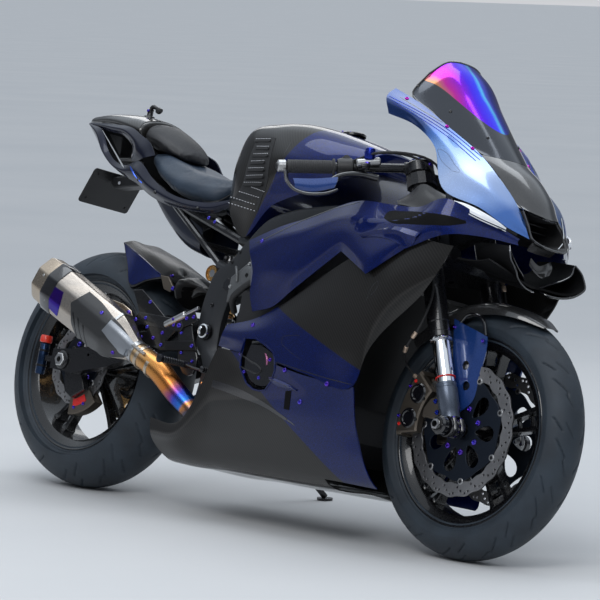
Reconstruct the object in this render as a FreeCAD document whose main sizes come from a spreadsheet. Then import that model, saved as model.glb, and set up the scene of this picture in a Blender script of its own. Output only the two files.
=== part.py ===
import FreeCAD, Part
import math
import os
from FreeCAD import Placement, Rotation, Vector

# Sport bike, millimetres. It is drawn upright: +X forward, +Y left, z = 0 where upright tyres would stand.
# Every piece then gets the same resting placement, which leans the bike to its left onto the side stand.

SIZES = (
    # Chassis layout
    ("wheelbase", 1385), ("front_axle_x", 687.5), ("lean_angle", 13), ("rake_angle", 24), ("trail_length", 97),
    ("centre_shift_x", 12.5), ("centre_shift_y", -184),
    # Tyres and wheels
    ("front_ring_radius", 240), ("front_crown_radius", 60),
    ("rear_ring_radius", 223), ("rear_crown_radius", 92),
    ("rim_lip_radius", 228), ("rim_seat_radius", 216), ("rim_well_radius", 205),
    ("front_rim_width", 94), ("rear_rim_width", 142), ("spoke_pairs", 5), ("spoke_width", 17),
    ("axle_radius", 12.5), ("axle_play", 0.4), ("front_hub_radius", 34), ("rear_hub_radius", 44),
    # Brakes and final drive
    ("front_disc_radius", 160), ("rear_disc_radius", 110), ("disc_thickness", 5), ("disc_band", 33),
    ("front_disc_offset", 68), ("rear_disc_offset", 86), ("caliper_reach", 190),
    ("chain_pitch", 15.875), ("rear_teeth", 45), ("front_teeth", 16), ("chain_offset", 106), ("chain_width", 18),
    ("sprocket_thickness", 6),
    # Steering
    ("fork_spacing", 210), ("fork_tube_radius", 21.5), ("fork_outer_radius", 27), ("fork_length", 684),
    ("fork_outer_start", 222), ("lower_clamp_start", 400), ("upper_clamp_start", 612),
    ("clamp_thickness", 30), ("stem_radius", 15), ("head_bore_play", 2), ("head_tube_wall", 16),
    ("bearing_gap", 0.4), ("bar_radius", 11), ("grip_radius", 16.5), ("grip_length", 118),
    # Frame, swingarm and engine
    ("pivot_x", -165), ("pivot_z", 442), ("pivot_radius", 26), ("spar_thickness", 32), ("frame_half_width", 152),
    ("swingarm_gap", 236), ("swingarm_half_width", 148),
    ("engine_half_width", 190), ("mount_gap", 0.3), ("sprocket_x", -95), ("sprocket_z", 448),
    # Bodywork
    ("fairing_half_width", 240), ("panel_wall", 3), ("arch_half_width", 165), ("seat_half_width", 142),
    ("tank_half_width", 165), ("screen_wall", 3), ("cowl_half_width", 200), ("radiator_half_width", 165),
    # Exhaust
    ("pipe_radius", 25), ("silencer_length", 400), ("silencer_height", 132), ("silencer_width", 96),
    # Plate, stand and mounts
    ("plate_width", 178), ("plate_height", 103), ("plate_thickness", 3),
    ("stand_leg_radius", 8), ("stand_foot_radius", 21), ("stand_foot_thickness", 6),
    ("spool_bore_radius", 4), ("spool_bore_depth", 20), ("stem_bore_radius", 8), ("stem_bore_depth", 40),
    ("axle_bore_radius", 8), ("axle_bore_depth", 40),
)


def write_sheet(doc):
    """Put the driving dimensions on a sheet, one named cell to a size."""
    sheet = doc.addObject("Spreadsheet::Sheet", "dims")
    for row, (name, value) in enumerate(SIZES, start=1):
        sheet.set("A%d" % row, name)
        sheet.set("B%d" % row, str(value))
        sheet.setAlias("B%d" % row, name)
    doc.recompute()
    return sheet


document = FreeCAD.newDocument("sport_bike")
sheet = write_sheet(document)


def size(name):
    return float(sheet.get(name))


def degrees_of(name):
    return math.radians(size(name))


# Places that follow from the driving dimensions
LEAN = degrees_of("lean_angle")
RAKE = degrees_of("rake_angle")
FRONT_RADIUS = size("front_ring_radius") + size("front_crown_radius") / math.cos(LEAN)
REAR_RADIUS = size("rear_ring_radius") + size("rear_crown_radius") / math.cos(LEAN)
FRONT_AXLE = Vector(size("front_axle_x"), 0, FRONT_RADIUS)
REAR_AXLE = Vector(size("front_axle_x") - size("wheelbase"), 0, REAR_RADIUS)
PIVOT = Vector(size("pivot_x"), 0, size("pivot_z"))
STEER_UP = Vector(-math.sin(RAKE), 0, math.cos(RAKE))
STEER_AHEAD = Vector(math.cos(RAKE), 0, math.sin(RAKE))
FORK_OFFSET = FRONT_RADIUS * math.sin(RAKE) - size("trail_length") * math.cos(RAKE)
HALF_FORK = size("fork_spacing") / 2
BRIDGE_TOP = 462
SPOOL = Vector(-600, 0, 340)
PIVOT_PIN = 11.7
SPRING_COILS = 5
CHAIN_HALF_HEIGHT = 7
SHOCK_CROSS = Vector(-300, 0, 668)
SUBFRAME_TUBE = 9
SEAT_PLAY = 0.3
AXLE_END = 30
SLOT_ROOM = 13
STAND_PLATE = 9
RING_STEPS = 36
BORE_SIDES = 12
ROUND_SIDES = 10
BEND_STEPS = 3
RIGHT = -1
LEFT = 1
SIDES = ((RIGHT, "right"), (LEFT, "left"))
REST = Placement(Vector(size("centre_shift_x"), size("centre_shift_y"), 0), Rotation(Vector(1, 0, 0), -size("lean_angle")))
PIECES = []
DRAWN = {}


def keep(piece, label):
    """Name a finished sub-part and lean it onto the stand."""
    piece.Label = label
    piece.Placement = REST
    PIECES.append(piece)
    return piece


def feature(label, shape):
    piece = document.addObject("Part::Feature", label)
    baked = shape.copy()
    baked.Placement = Placement()
    baked.transformShape(shape.Placement.toMatrix(), True)
    piece.Shape = baked
    DRAWN[label] = baked
    return keep(piece, label)


# Shapes used again and again

def mirror(points, side):
    """Give points drawn for the right side (negative y) their side."""
    return [Vector(x, -side * y, z) for x, y, z in points]


def prism_across(outline, near, far):
    """A side-view outline of (x, z) points, solid from y = near to y = far."""
    wire = Part.makePolygon([Vector(x, near, z) for x, z in outline + outline[:1]])
    return Part.Face(wire).extrude(Vector(0, far - near, 0))


def prism_upward(outline, low, high):
    """A plan-view outline of (x, y) points, solid from z = low to z = high."""
    wire = Part.makePolygon([Vector(x, y, low) for x, y in outline + outline[:1]])
    return Part.Face(wire).extrude(Vector(0, 0, high - low))


def rod(start, end, radius, sides=ROUND_SIDES):
    """A straight many-sided bar, its corners on the radius."""
    facing = Rotation(Vector(0, 0, 1), end - start)
    ring = []
    for index in range(sides):
        turn = 2 * math.pi * index / sides
        ring.append(start + facing.multVec(Vector(radius * math.cos(turn), radius * math.sin(turn), 0)))
    return Part.Face(Part.makePolygon(ring + ring[:1])).extrude(end - start)


def across_rod(centre, half_length, radius, sides=ROUND_SIDES):
    """A bar along y with its middle at the centre."""
    return rod(centre - Vector(0, half_length, 0), centre + Vector(0, half_length, 0), radius, sides)


def seated(shape, carrier, toward, clear=()):
    """The part of a shape before it meets a neighbour, less the mounting gap on the way toward it."""
    blockers = [carrier] + list(clear)
    for neighbour in blockers[:]:
        blocker = neighbour.copy()
        blocker.translate(toward.normalize() * -size("mount_gap"))
        blockers.append(blocker)
    left = shape.cut(blockers).Solids
    return min(left, key=lambda solid: solid.CenterOfMass.dot(toward))


def bend_places(points):
    """Places along a line of runs whose corners are rounded."""
    places = [points[0]]
    for before, corner, after in zip(points, points[1:], points[2:]):
        reach = 0.45 * min((before - corner).Length, (after - corner).Length)
        entry = corner + (before - corner).normalize() * reach
        leave = corner + (after - corner).normalize() * reach
        for step in range(BEND_STEPS + 1):
            share = step / BEND_STEPS
            places.append(entry * (1 - share) ** 2 + corner * (2 * share * (1 - share)) + leave * share ** 2)
    return places + [points[-1]]


def bent_tube(points, radius, sides):
    """A bent rod or pipe with a many-sided section."""
    places = bend_places(points)
    way = (places[1] - places[0]).normalize()
    across = way.cross(Vector(0.3, 0.2, 1)).normalize()
    loops = []
    for index, place in enumerate(places):
        run = (places[min(index + 1, len(places) - 1)] - places[max(index - 1, 0)]).normalize()
        across = Rotation(way, run).multVec(across)
        way = run
        loops.append([place + Rotation(way, 360 * step / sides).multVec(across) * radius for step in range(sides)])
    return loops_solid(loops)


def offset_inward(rib, wall):
    """Move a rib of (x, y, z) points inward by the wall, across its own line as seen along x."""
    moved = []
    last = len(rib) - 1
    for index, (x, y, z) in enumerate(rib):
        before = rib[max(index - 1, 0)]
        after = rib[min(index + 1, last)]
        along_y, along_z = after[1] - before[1], after[2] - before[2]
        length = math.hypot(along_y, along_z)
        moved.append((x, y - along_z / length * wall, z + along_y / length * wall))
    return moved


def panels(first, second, third, fourth):
    """The faces on four corners in turn: one where they lie in a plane, otherwise two triangles."""
    normal = (third - first).cross(fourth - second)
    if normal.Length > 0 and abs((second - first).dot(normal.normalize())) < 1e-6:
        return [Part.Face(Part.makePolygon([first, second, third, fourth, first]))]
    if (third - first).Length > (fourth - second).Length:
        first, second, third, fourth = second, third, fourth, first
    return [Part.Face(Part.makePolygon([first, second, third, first])),
            Part.Face(Part.makePolygon([first, third, fourth, first]))]


def stitched(faces):
    shell = Part.Shell(faces)
    shell.sewShape()
    return solid_of(Part.Solid(shell))


def skin(ribs, wall, side=RIGHT):
    """A thin panel between ribs that run from its top edge to its bottom edge, each as long as the first."""
    outside = [mirror(rib, side) for rib in ribs]
    inside = [mirror(offset_inward(rib, wall), side) for rib in ribs]
    steps = list(zip(range(len(ribs[0])), range(1, len(ribs[0]))))
    faces = []
    for row, next_row in zip(range(len(ribs)), range(1, len(ribs))):
        for layer in (outside, inside):
            for low, high in steps:
                faces += panels(layer[row][low], layer[row][high], layer[next_row][high], layer[next_row][low])
        for edge in (0, -1):
            faces += panels(outside[row][edge], inside[row][edge], inside[next_row][edge], outside[next_row][edge])
    for row in (0, -1):
        for low, high in steps:
            faces += panels(outside[row][low], outside[row][high], inside[row][high], inside[row][low])
    return stitched(faces)


def loops_solid(loops, closed=False):
    """A solid through closed loops of points, with an end face at each end unless it closes on itself."""
    faces = []
    count = len(loops[0])
    pairs = list(zip(loops, loops[1:]))
    if closed:
        pairs.append((loops[-1], loops[0]))
    for low, high in pairs:
        for index in range(count):
            after = (index + 1) % count
            faces += panels(low[index], low[after], high[after], high[index])
    if not closed:
        for loop in (loops[0], loops[-1]):
            faces.append(Part.Face(Part.makePolygon(loop + loop[:1])))
    return stitched(faces)


def ring_solid(centre, outline, steps):
    """A ring about a wheel's axle from a closed (radius, y) outline, with a corner straight below the axle."""
    loops = []
    for index in range(steps):
        turn = 2 * math.pi * index / steps - math.pi / 2
        loops.append([centre + Vector(r * math.cos(turn), y, r * math.sin(turn)) for r, y in outline])
    return loops_solid(loops, True)


def around(radius_at, count):
    """Corners of a closed side-view outline about the origin, from the radius at each turn."""
    turns = [2 * math.pi * index / count for index in range(count)]
    return [(radius_at(index) * math.cos(turn), radius_at(index) * math.sin(turn)) for index, turn in enumerate(turns)]


def whole_rib(rib):
    """A rib from edge to edge, from its right half. The half starts or ends on the middle plane."""
    other = [(x, -y, z) for x, y, z in rib if y != 0][::-1]
    return other + rib if rib[0][1] == 0 else rib + other


def mass_loft(ribs, grown=0):
    """A solid through ribs given as the right half, from top centre to bottom centre, grown all round."""
    loops = []
    for rib in ribs:
        right = [Vector(*point) for point in rib]
        left = [Vector(x, -y, z) for x, y, z in rib[::-1] if y != 0]
        loop = right + left
        outward = []
        for index in range(len(loop)):
            run = (loop[(index + 1) % len(loop)] - loop[index - 1]).normalize()
            outward.append(Vector(0, run.z, -run.y) * grown)
        loops.append([point + step for point, step in zip(loop, outward)])
    return loops_solid(loops)


def solid_of(shape):
    """One solid that faces outward."""
    solid = shape.Solids[0] if shape.Solids else Part.Solid(shape)
    if solid.Volume < 0:
        solid.reverse()
    return solid


# Wheels

def build_tyre(label, ring, crown, rim_width, centre):
    """A tyre whose outline has a corner where it stands when leaning."""
    ring, crown, half = size(ring), size(crown), size(rim_width) / 2
    right = [(size("rim_seat_radius") + SEAT_PLAY, -(half - 7)), (size("rim_lip_radius") + 0.5, -(half - 1))]
    for angle in (1.36, 0.82, LEAN):
        right.append((ring + crown * math.cos(angle), -crown * math.sin(angle)))
    left = [(radius, -y) for radius, y in right[::-1]]
    feature(label, ring_solid(centre, right + left, RING_STEPS))


def build_rim(label, width, hub, centre, hub_half):
    """A rim with a dropped well, a hub with its bore and pairs of spokes."""
    half, well = size(width) / 2, size("rim_well_radius")
    right = [(well - 6, -(half - 14)), (size("rim_lip_radius") - 5, -half), (size("rim_lip_radius"), -half),
             (size("rim_seat_radius"), -(half - 6)), (well, -(half - 26))]
    left = [(radius, -y) for radius, y in right[::-1]]
    rim = ring_solid(centre, right + left, RING_STEPS)
    whole = [across_rod(centre, hub_half, size(hub), 16)]
    thick = size("spoke_width")
    for index in range(int(size("spoke_pairs"))):
        for hand in (-1, 1):
            outline = [(hand * 4, size(hub) - 4), (hand * (4 + thick), size(hub) - 6),
                       (hand * (24 + thick), well - 3), (hand * 24, well - 2)]
            spoke = prism_across(outline, -thick * 0.9, thick * 0.9)
            spoke.rotate(Vector(0, 0, 0), Vector(0, 1, 0), 360 * index / size("spoke_pairs"))
            spoke.translate(centre)
            whole.append(spoke)
    bore = Part.makeCylinder(size("axle_radius") + size("axle_play"), 4 * hub_half,
                             centre - Vector(0, 2 * hub_half, 0), Vector(0, 1, 0))
    feature(label, solid_of(rim.fuse(whole).removeSplitter().cut(bore)))


def disc_shape(centre, offset, radius, lobes, hub_radius, arms):
    """A brake disc with a wavy rim and its carrier: a ring at the hub with arms that reach the band."""
    thickness = size("disc_thickness")

    def wave(index):
        return radius - (0, 3, 5, 3)[index % 4]

    band = radius - size("disc_band")
    disc = prism_across(around(wave, 4 * lobes), 0, thickness)
    disc = disc.cut(prism_across(around(lambda index: band, 2 * lobes), -1, thickness + 1))
    carrier = prism_across(around(lambda index: hub_radius + 22, 2 * arms), 0, thickness)
    for index in range(arms):
        arm = prism_across([(-7, hub_radius + 8), (7, hub_radius + 8), (9, band + 3), (-9, band + 3)], 0, thickness)
        arm.rotate(Vector(0, 0, 0), Vector(0, 1, 0), 360 * index / arms)
        carrier = carrier.fuse(arm)
    bore = prism_across(around(lambda index: hub_radius, 2 * arms), -1, thickness + 1)
    whole = disc.fuse(carrier.cut(bore))
    whole.translate(centre + Vector(0, offset - thickness / 2, 0))
    return solid_of(whole.removeSplitter())


def build_wheels():
    build_tyre("front_tyre", "front_ring_radius", "front_crown_radius", "front_rim_width", FRONT_AXLE)
    build_tyre("rear_tyre", "rear_ring_radius", "rear_crown_radius", "rear_rim_width", REAR_AXLE)
    half_disc = size("disc_thickness") / 2
    front_half = size("front_disc_offset") - half_disc - size("mount_gap")
    rear_half = size("rear_disc_offset") - half_disc - size("mount_gap")
    build_rim("front_rim", "front_rim_width", "front_hub_radius", FRONT_AXLE, front_half)
    build_rim("rear_rim", "rear_rim_width", "rear_hub_radius", REAR_AXLE, rear_half)
    discs = []
    for side, _ in SIDES:
        discs.append(disc_shape(FRONT_AXLE, side * size("front_disc_offset"), size("front_disc_radius"), 8,
                                size("axle_radius") + 6, 6))
    feature("front_discs", Part.makeCompound(discs))
    feature("rear_disc", disc_shape(REAR_AXLE, -size("rear_disc_offset"), size("rear_disc_radius"), 8,
                                    size("axle_radius") + 6, 5))
    feature("rear_sprocket", sprocket_shape(REAR_AXLE, size("rear_teeth"), size("axle_radius") + 6, rear_half))


def pitch_radius(teeth):
    return size("chain_pitch") / (2 * math.sin(math.pi / teeth))


def sprocket_shape(centre, teeth, bore, hub_end):
    """A toothed wheel on the chain's line, its teeth short of the chain's rollers, and the boss behind it."""
    tip = pitch_radius(teeth) - CHAIN_HALF_HEIGHT - 1
    half = size("sprocket_thickness") / 2
    near = size("chain_offset") - half

    def tooth(index):
        return tip if index % 2 == 0 else tip - 5

    wheel = prism_across(around(tooth, 2 * int(teeth)), near, near + 2 * half)
    boss = prism_across(around(lambda index: bore + 34, 15), hub_end + size("mount_gap"), near)
    hole = prism_across(around(lambda index: bore, 12), 0, 2 * near)
    whole = wheel.fuse(boss).cut(hole)
    for index in range(5):
        opening = prism_across(around(lambda count: 17, 6), 0, 2 * near)
        opening.translate(Vector(0, 0, (tip + bore + 28) / 2))
        opening.rotate(Vector(0, 0, 0), Vector(0, 1, 0), 72 * index)
        whole = whole.cut(opening)
    whole.translate(centre)
    return solid_of(whole.removeSplitter())


def belt_outline(front, front_reach, rear, rear_reach):
    """The closed side-view line that wraps two circles, as a wire at y = 0."""
    span = front - rear
    apart = math.hypot(span.x, span.z)
    slope = math.atan2(span.z, span.x)
    lean = math.acos((rear_reach - front_reach) / apart)

    def on_circle(centre, reach, turn):
        return Vector(centre.x + reach * math.cos(turn), 0, centre.z + reach * math.sin(turn))

    upper, lower = slope + lean, slope - lean
    front_top, front_low = on_circle(front, front_reach, upper), on_circle(front, front_reach, lower)
    rear_top, rear_low = on_circle(rear, rear_reach, upper), on_circle(rear, rear_reach, lower)
    front_tip = on_circle(front, front_reach, slope)
    rear_tip = on_circle(rear, rear_reach, slope + math.pi)
    return Part.Wire([Part.LineSegment(rear_top, front_top).toShape(), Part.Arc(front_top, front_tip, front_low).toShape(),
                      Part.LineSegment(front_low, rear_low).toShape(), Part.Arc(rear_low, rear_tip, rear_top).toShape()])


def build_chain():
    feature("drive_chain", chain_tunnel(0))


# Steering

def fork_point(along, side=0):
    """A point on the fork leg's centre line, measured up from the axle."""
    return FRONT_AXLE + STEER_UP * along + Vector(0, side * HALF_FORK, 0)


def steer_point(along):
    """A point on the steering axis, level with the same point of the fork legs."""
    return fork_point(along) - STEER_AHEAD * FORK_OFFSET


def prism_object(name, radius, length, start, direction):
    """A many-sided bar whose radius and length are bound to the sheet."""
    item = document.addObject("Part::Prism", name)
    item.Polygon = BORE_SIDES
    item.setExpression("Circumradius", radius)
    item.setExpression("Height", length)
    item.Placement = Placement(start, Rotation(Vector(0, 0, 1), direction))
    return item


def build_fork_leg(side, name):
    """An upside-down leg: a bright slider below, a wide tube above and the axle lug at the foot."""
    slider = prism_object("slider_" + name, "dims.fork_tube_radius", "dims.fork_outer_start - 20",
                             fork_point(30, side), STEER_UP)
    outer = prism_object("outer_tube_" + name, "dims.fork_outer_radius",
                            "dims.fork_length - dims.fork_outer_start",
                            fork_point(size("fork_outer_start"), side), STEER_UP)
    boot = prism_object("foot_" + name, "dims.fork_tube_radius + 5", "90", fork_point(8, side), STEER_UP)
    lug_start = fork_point(0, side) - Vector(0, side * 24, 0)
    lug = prism_object("axle_lug_" + name, "dims.axle_radius + 13", "46", lug_start, Vector(0, side, 0))
    solid = document.addObject("Part::MultiFuse", "leg_solid_" + name)
    solid.Shapes = [slider, outer, boot, lug]
    bore = prism_object("axle_bore_" + name, "dims.axle_radius", "70", lug_start - Vector(0, side * 10, 0),
                           Vector(0, side, 0))
    leg = document.addObject("Part::Cut", "fork_leg_" + name)
    leg.Base = solid
    leg.Tool = bore
    document.recompute()
    return leg


def build_fork():
    legs = document.addObject("Part::Compound", "fork_legs")
    legs.Links = [build_fork_leg(side, name) for side, name in SIDES]
    document.recompute()
    keep(legs, "fork_legs")


def clamp_shape(start, thickness):
    """A triple clamp: a plate around both legs and the stem, square to the steering axis."""
    leg_ring = size("fork_outer_radius") + 9
    plate = None
    for side, _ in SIDES:
        ring = rod(fork_point(start, side), fork_point(start + thickness, side), leg_ring, BORE_SIDES)
        plate = ring if plate is None else plate.fuse(ring)
    stem_base = steer_point(start)
    hub = rod(stem_base, stem_base + STEER_UP * thickness, size("stem_radius") + 14, 16)
    outline = []
    for ahead, across in ((28, HALF_FORK), (-26, HALF_FORK), (-26 - FORK_OFFSET, 22), (-26 - FORK_OFFSET, -22),
                          (-26, -HALF_FORK), (28, -HALF_FORK)):
        outline.append(fork_point(start) + STEER_AHEAD * ahead + Vector(0, across, 0))
    bridge = Part.Face(Part.makePolygon(outline + outline[:1])).extrude(STEER_UP * thickness)
    plate = plate.fuse([hub, bridge])
    for side, _ in SIDES:
        bore = rod(fork_point(start - thickness, side), fork_point(start + 2 * thickness, side), size("fork_outer_radius"), BORE_SIDES)
        plate = plate.cut(bore)
    return plate


def build_clamps():
    thickness = size("clamp_thickness")
    low, high = size("lower_clamp_start"), size("upper_clamp_start")
    stem = rod(steer_point(low), steer_point(high + thickness), size("stem_radius"))
    whole = clamp_shape(low, thickness).fuse([clamp_shape(high, thickness), stem])
    bore = Part.makeCylinder(size("stem_bore_radius"), size("stem_bore_depth"), steer_point(low), STEER_UP)
    whole = whole.cut(bore)
    feature("triple_clamps", whole.removeSplitter())


def build_front_axle():
    reach = HALF_FORK + 30
    solids = [across_rod(FRONT_AXLE, reach, size("axle_radius"), BORE_SIDES)]
    for side, _ in SIDES:
        way = Vector(0, side, 0)
        face = FRONT_AXLE + way * reach
        solids += [rod(face, face + way * 22, 20), rod(face + way * 22, face + way * AXLE_END, 13)]
    axle = solids[0].fuse(solids[1:])
    for side, _ in SIDES:
        way = Vector(0, side, 0)
        end = FRONT_AXLE + way * (reach + AXLE_END)
        axle = axle.cut(Part.makeCylinder(size("axle_bore_radius"), size("axle_bore_depth"), end, way * -1))
    feature("front_axle", solid_of(axle))


def ring_sector(centre, inner, outer, from_degrees, to_degrees, near, far):
    """A block cut from a ring about a wheel's axle, between two angles above +X."""
    points = []
    steps = 3
    for index in range(steps + 1):
        turn = math.radians(from_degrees + (to_degrees - from_degrees) * index / steps)
        points.append((centre.x + outer * math.cos(turn), centre.z + outer * math.sin(turn)))
    for index in range(steps, -1, -1):
        turn = math.radians(from_degrees + (to_degrees - from_degrees) * index / steps)
        points.append((centre.x + inner * math.cos(turn), centre.z + inner * math.sin(turn)))
    return prism_across(points, near, far)


def build_front_calipers():
    calipers = []
    inner = size("front_disc_radius") - 48
    slot_half = size("disc_thickness") / 2 + 3
    for side, _ in SIDES:
        disc_y = side * size("front_disc_offset")
        body = ring_sector(FRONT_AXLE, inner, size("caliper_reach"), 138, 192, disc_y - side * 26, disc_y + side * 32)
        slot = ring_sector(FRONT_AXLE, 0, size("front_disc_radius") + SLOT_ROOM, 120, 210,
                           disc_y - slot_half, disc_y + slot_half)
        corners = []
        near = size("fork_tube_radius") + 5 + size("mount_gap")
        for behind, along in ((near, 40), (near, 92), (75, 92), (95, 60), (60, 40)):
            corner = fork_point(along) - STEER_AHEAD * behind
            corners.append((corner.x, corner.z))
        lug = prism_across(corners, disc_y + side * 20, disc_y + side * 34)
        calipers.append(solid_of(body.cut(slot).fuse(lug)))
    feature("front_calipers", Part.makeCompound(calipers))


def arch_shape(ribs, wall):
    """A curved cover over a tyre, through ribs about the axle."""
    loops = []
    for outer, centre in ribs:
        over = [Vector(place.x, -width, place.z) for place, width in outer]
        under = []
        for place, width in outer:
            toward = (centre - place).normalize() * wall
            under.append(Vector(place.x + toward.x, -max(width - wall, 0), place.z + toward.z))
        over = [Vector(v.x, -v.y, v.z) for v in over[:0:-1]] + over
        under = [Vector(v.x, -v.y, v.z) for v in under[:0:-1]] + under
        loops.append(over + under[::-1])
    return loops_solid(loops)


def build_front_fender():
    tyre = FRONT_RADIUS
    ribs = []
    for degrees, above, half, drop in ((60, 12, 26, 6), (72, 14, 62, 22), (92, 14, 72, 40), (115, 14, 76, 58),
                                       (138, 16, 70, 50)):
        ribs.append((cover_rib(FRONT_AXLE, degrees, tyre + above, half, drop), FRONT_AXLE))
    arch = arch_shape(ribs, 3)
    guards = []
    for side, _ in SIDES:
        outline = [(602, 560), (712, 528), (716, 496), (704, 372), (672, 340), (655, 352), (615, 500)]
        near = side * (HALF_FORK - fork_guard_gap())
        plate = prism_across(outline, near, near - side * 4)
        for z in (452, 396):
            x = FRONT_AXLE.x - (z - FRONT_AXLE.z) * math.tan(RAKE) + 62
            plate = plate.cut(across_rod(Vector(x, near, z), 15, 9, 12))
        guards.append(plate)
    whole = arch.fuse(guards)
    feature("front_fender", whole)


def fork_guard_gap():
    """How far inside the leg's centre line the guard plates stand."""
    return size("fork_outer_radius") + size("mount_gap")


def build_bars():
    bars, grips, controls = [], [], []
    start_along = size("upper_clamp_start") + size("clamp_thickness") + 4
    for side, _ in SIDES:
        leg = fork_point(start_along, side)
        outer, inner = size("fork_outer_radius") + 8, size("bar_radius") + 0.3
        collar = rod(leg, leg + STEER_UP * 28, outer, 16)
        tube = rod(leg - STEER_UP * 50, leg + STEER_UP * 90, size("fork_outer_radius"), BORE_SIDES)
        root = leg + STEER_UP * 15 - Vector(size("fork_outer_radius") + 4, 0, 0)
        tip = Vector(205, side * 345, 848)
        way = (tip - root).normalize()
        bars.append(solid_of(collar.fuse(rod(root, tip, size("bar_radius"))).cut(tube)))
        core = rod(root, tip + way * 20, inner)
        grip_start = tip - way * (size("grip_length") + 6)
        grips.append(rod(grip_start, grip_start + way * size("grip_length"), size("grip_radius")).cut(core))
        pod_start = grip_start - way * 46
        pod = rod(pod_start, pod_start + way * 44, 23)
        ahead = way.cross(Vector(0, 0, 1)).normalize() * side
        hinge = pod_start - way * 26 + ahead * 34
        elbow = hinge + way * 60 + ahead * 16
        blade = rod(hinge, elbow, 6, 8).fuse(rod(elbow, hinge + way * 168 + ahead * 14, 6, 8))
        perch = rod(pod_start - way * 26, pod_start - way * 4, 19)
        arm = rod(pod_start - way * 15 + ahead * 17, hinge + way * 11, 9, 10)
        controls += [pod.cut(core), solid_of(perch.fuse([arm, blade]).cut(core))]
    feature("handlebars", Part.makeCompound(bars))
    feature("grips", Part.makeCompound(grips))
    feature("hand_controls", Part.makeCompound(controls))


# Frame, swingarm and engine

def build_frame():
    head_low = steer_point(size("lower_clamp_start") + size("clamp_thickness") + size("bearing_gap"))
    head_high = steer_point(size("upper_clamp_start") - size("bearing_gap"))
    bore = size("stem_radius") + size("head_bore_play")
    tube = rod(head_low, head_high, bore + size("head_tube_wall"))
    hole = rod(head_low - STEER_UP * 20, head_high + STEER_UP * 20, bore)
    feature("frame_head", tube.cut(hole))
    side_view = [(-162, 265), (-130, 262), (-112, 342), (-116, 410), (-118, 525), (-70, 610), (20, 668), (150, 700),
                 (300, 722), (462, 735), (428, 822), (300, 812), (150, 790), (20, 765), (-31, 750), (-131, 677),
                 (-194, 623), (-243, 560), (-243, 493), (-222, 440), (-195, 330)]
    outer = size("frame_half_width")
    thick = size("spar_thickness")
    reach = bore + size("head_tube_wall")
    for side, name in SIDES:
        slab = prism_across(side_view, 0, side * outer)
        plan = [(-260, side * outer), (20, side * outer), (150, side * (outer - 12)), (430, side * 62),
                (466, side * 50), (466, side * 22), (430, side * (62 - thick * 0.8)),
                (150, side * (outer - 16 - thick)), (20, side * (outer - thick)), (-260, side * (outer - thick))]
        column = prism_upward(plan, 200, 900)
        spar = slab.common(column)
        spar = spar.cut(rod(head_low - STEER_UP * 20, head_high + STEER_UP * 20, reach + 0.3))
        spar = spar.cut(across_rod(PIVOT, outer * 1.5, PIVOT_PIN + 0.3))
        if side == LEFT:
            outline = [(-242, 234), (-205, 232), (-140, 285), (-124, 322), (-186, 322), (-242, 282)]
            inward = stand_axis() * -1
            start = STAND_PIVOT + inward * (STAND_EYE / 2 + size("mount_gap"))
            spar = spar.fuse([prism_across(outline, outer, outer + STAND_PLATE), rod(start, start + inward * 16, 10)])
        feature("frame_spar_" + name, solid_of(spar))


def chain_tunnel(room):
    """The space around the chain's two runs, with room to every side."""
    front = Vector(size("sprocket_x"), 0, size("sprocket_z"))
    small, large = pitch_radius(size("front_teeth")), pitch_radius(size("rear_teeth"))
    half_height = CHAIN_HALF_HEIGHT + room
    width = size("chain_width") + 2 * room
    outer = Part.Face(belt_outline(front, small + half_height, REAR_AXLE, large + half_height))
    inner = Part.Face(belt_outline(front, small - half_height, REAR_AXLE, large - half_height))
    band = outer.extrude(Vector(0, width, 0)).cut(inner.extrude(Vector(0, width, 0)))
    band.translate(Vector(0, size("chain_offset") - width / 2, 0))
    return band


def build_engine():
    outline = [(-104, 262), (-30, 205), (40, 182), (250, 182), (296, 235), (298, 420), (330, 560), (290, 660),
               (215, 670), (120, 630), (60, 560), (-60, 545), (-100, 500)]
    half = size("engine_half_width")
    side_block = prism_across(outline, -half, half)
    lug_half = size("frame_half_width") - size("spar_thickness") - size("mount_gap")
    bay = size("chain_offset") - size("chain_width") / 2 - 14
    plan = [(-300, -lug_half), (-60, -lug_half), (-20, -half), (150, -half), (220, -half + 30), (400, -half + 40),
            (400, half - 40), (220, half - 30), (150, half), (-20, half), (-40, bay), (-300, bay)]
    front = [(-half + 55, 180), (-half + 25, 260), (-half + 5, 330), (-half, 400), (-half, 700),
             (half, 700), (half, 400), (half - 5, 330), (half - 25, 260), (half - 55, 180)]
    wire = Part.makePolygon([Vector(-400, y, z) for y, z in front + front[:1]])
    block = side_block.common(prism_upward(plan, 100, 700)).common(Part.Face(wire).extrude(Vector(900, 0, 0)))
    lug = Part.makeBox(60, lug_half * 2, 50, Vector(-150, -lug_half, 286))
    cover = rod(Vector(114, -half + 6, 376), Vector(114, -half - 10, 376), 60, 16)
    centre = Vector(size("sprocket_x"), 0, size("sprocket_z"))
    chain_y = size("chain_offset")
    half_wheel = Vector(0, size("sprocket_thickness") / 2, 0)
    shaft = rod(centre + Vector(0, bay - 6, 0), centre + Vector(0, chain_y + 6, 0), 13)
    middle = centre + Vector(0, chain_y, 0)
    wheel = rod(middle - half_wheel, middle + half_wheel, pitch_radius(size("front_teeth")) - CHAIN_HALF_HEIGHT - 1, 16)
    feature("engine", block.fuse([lug, cover, shaft, wheel]).removeSplitter())


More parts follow.
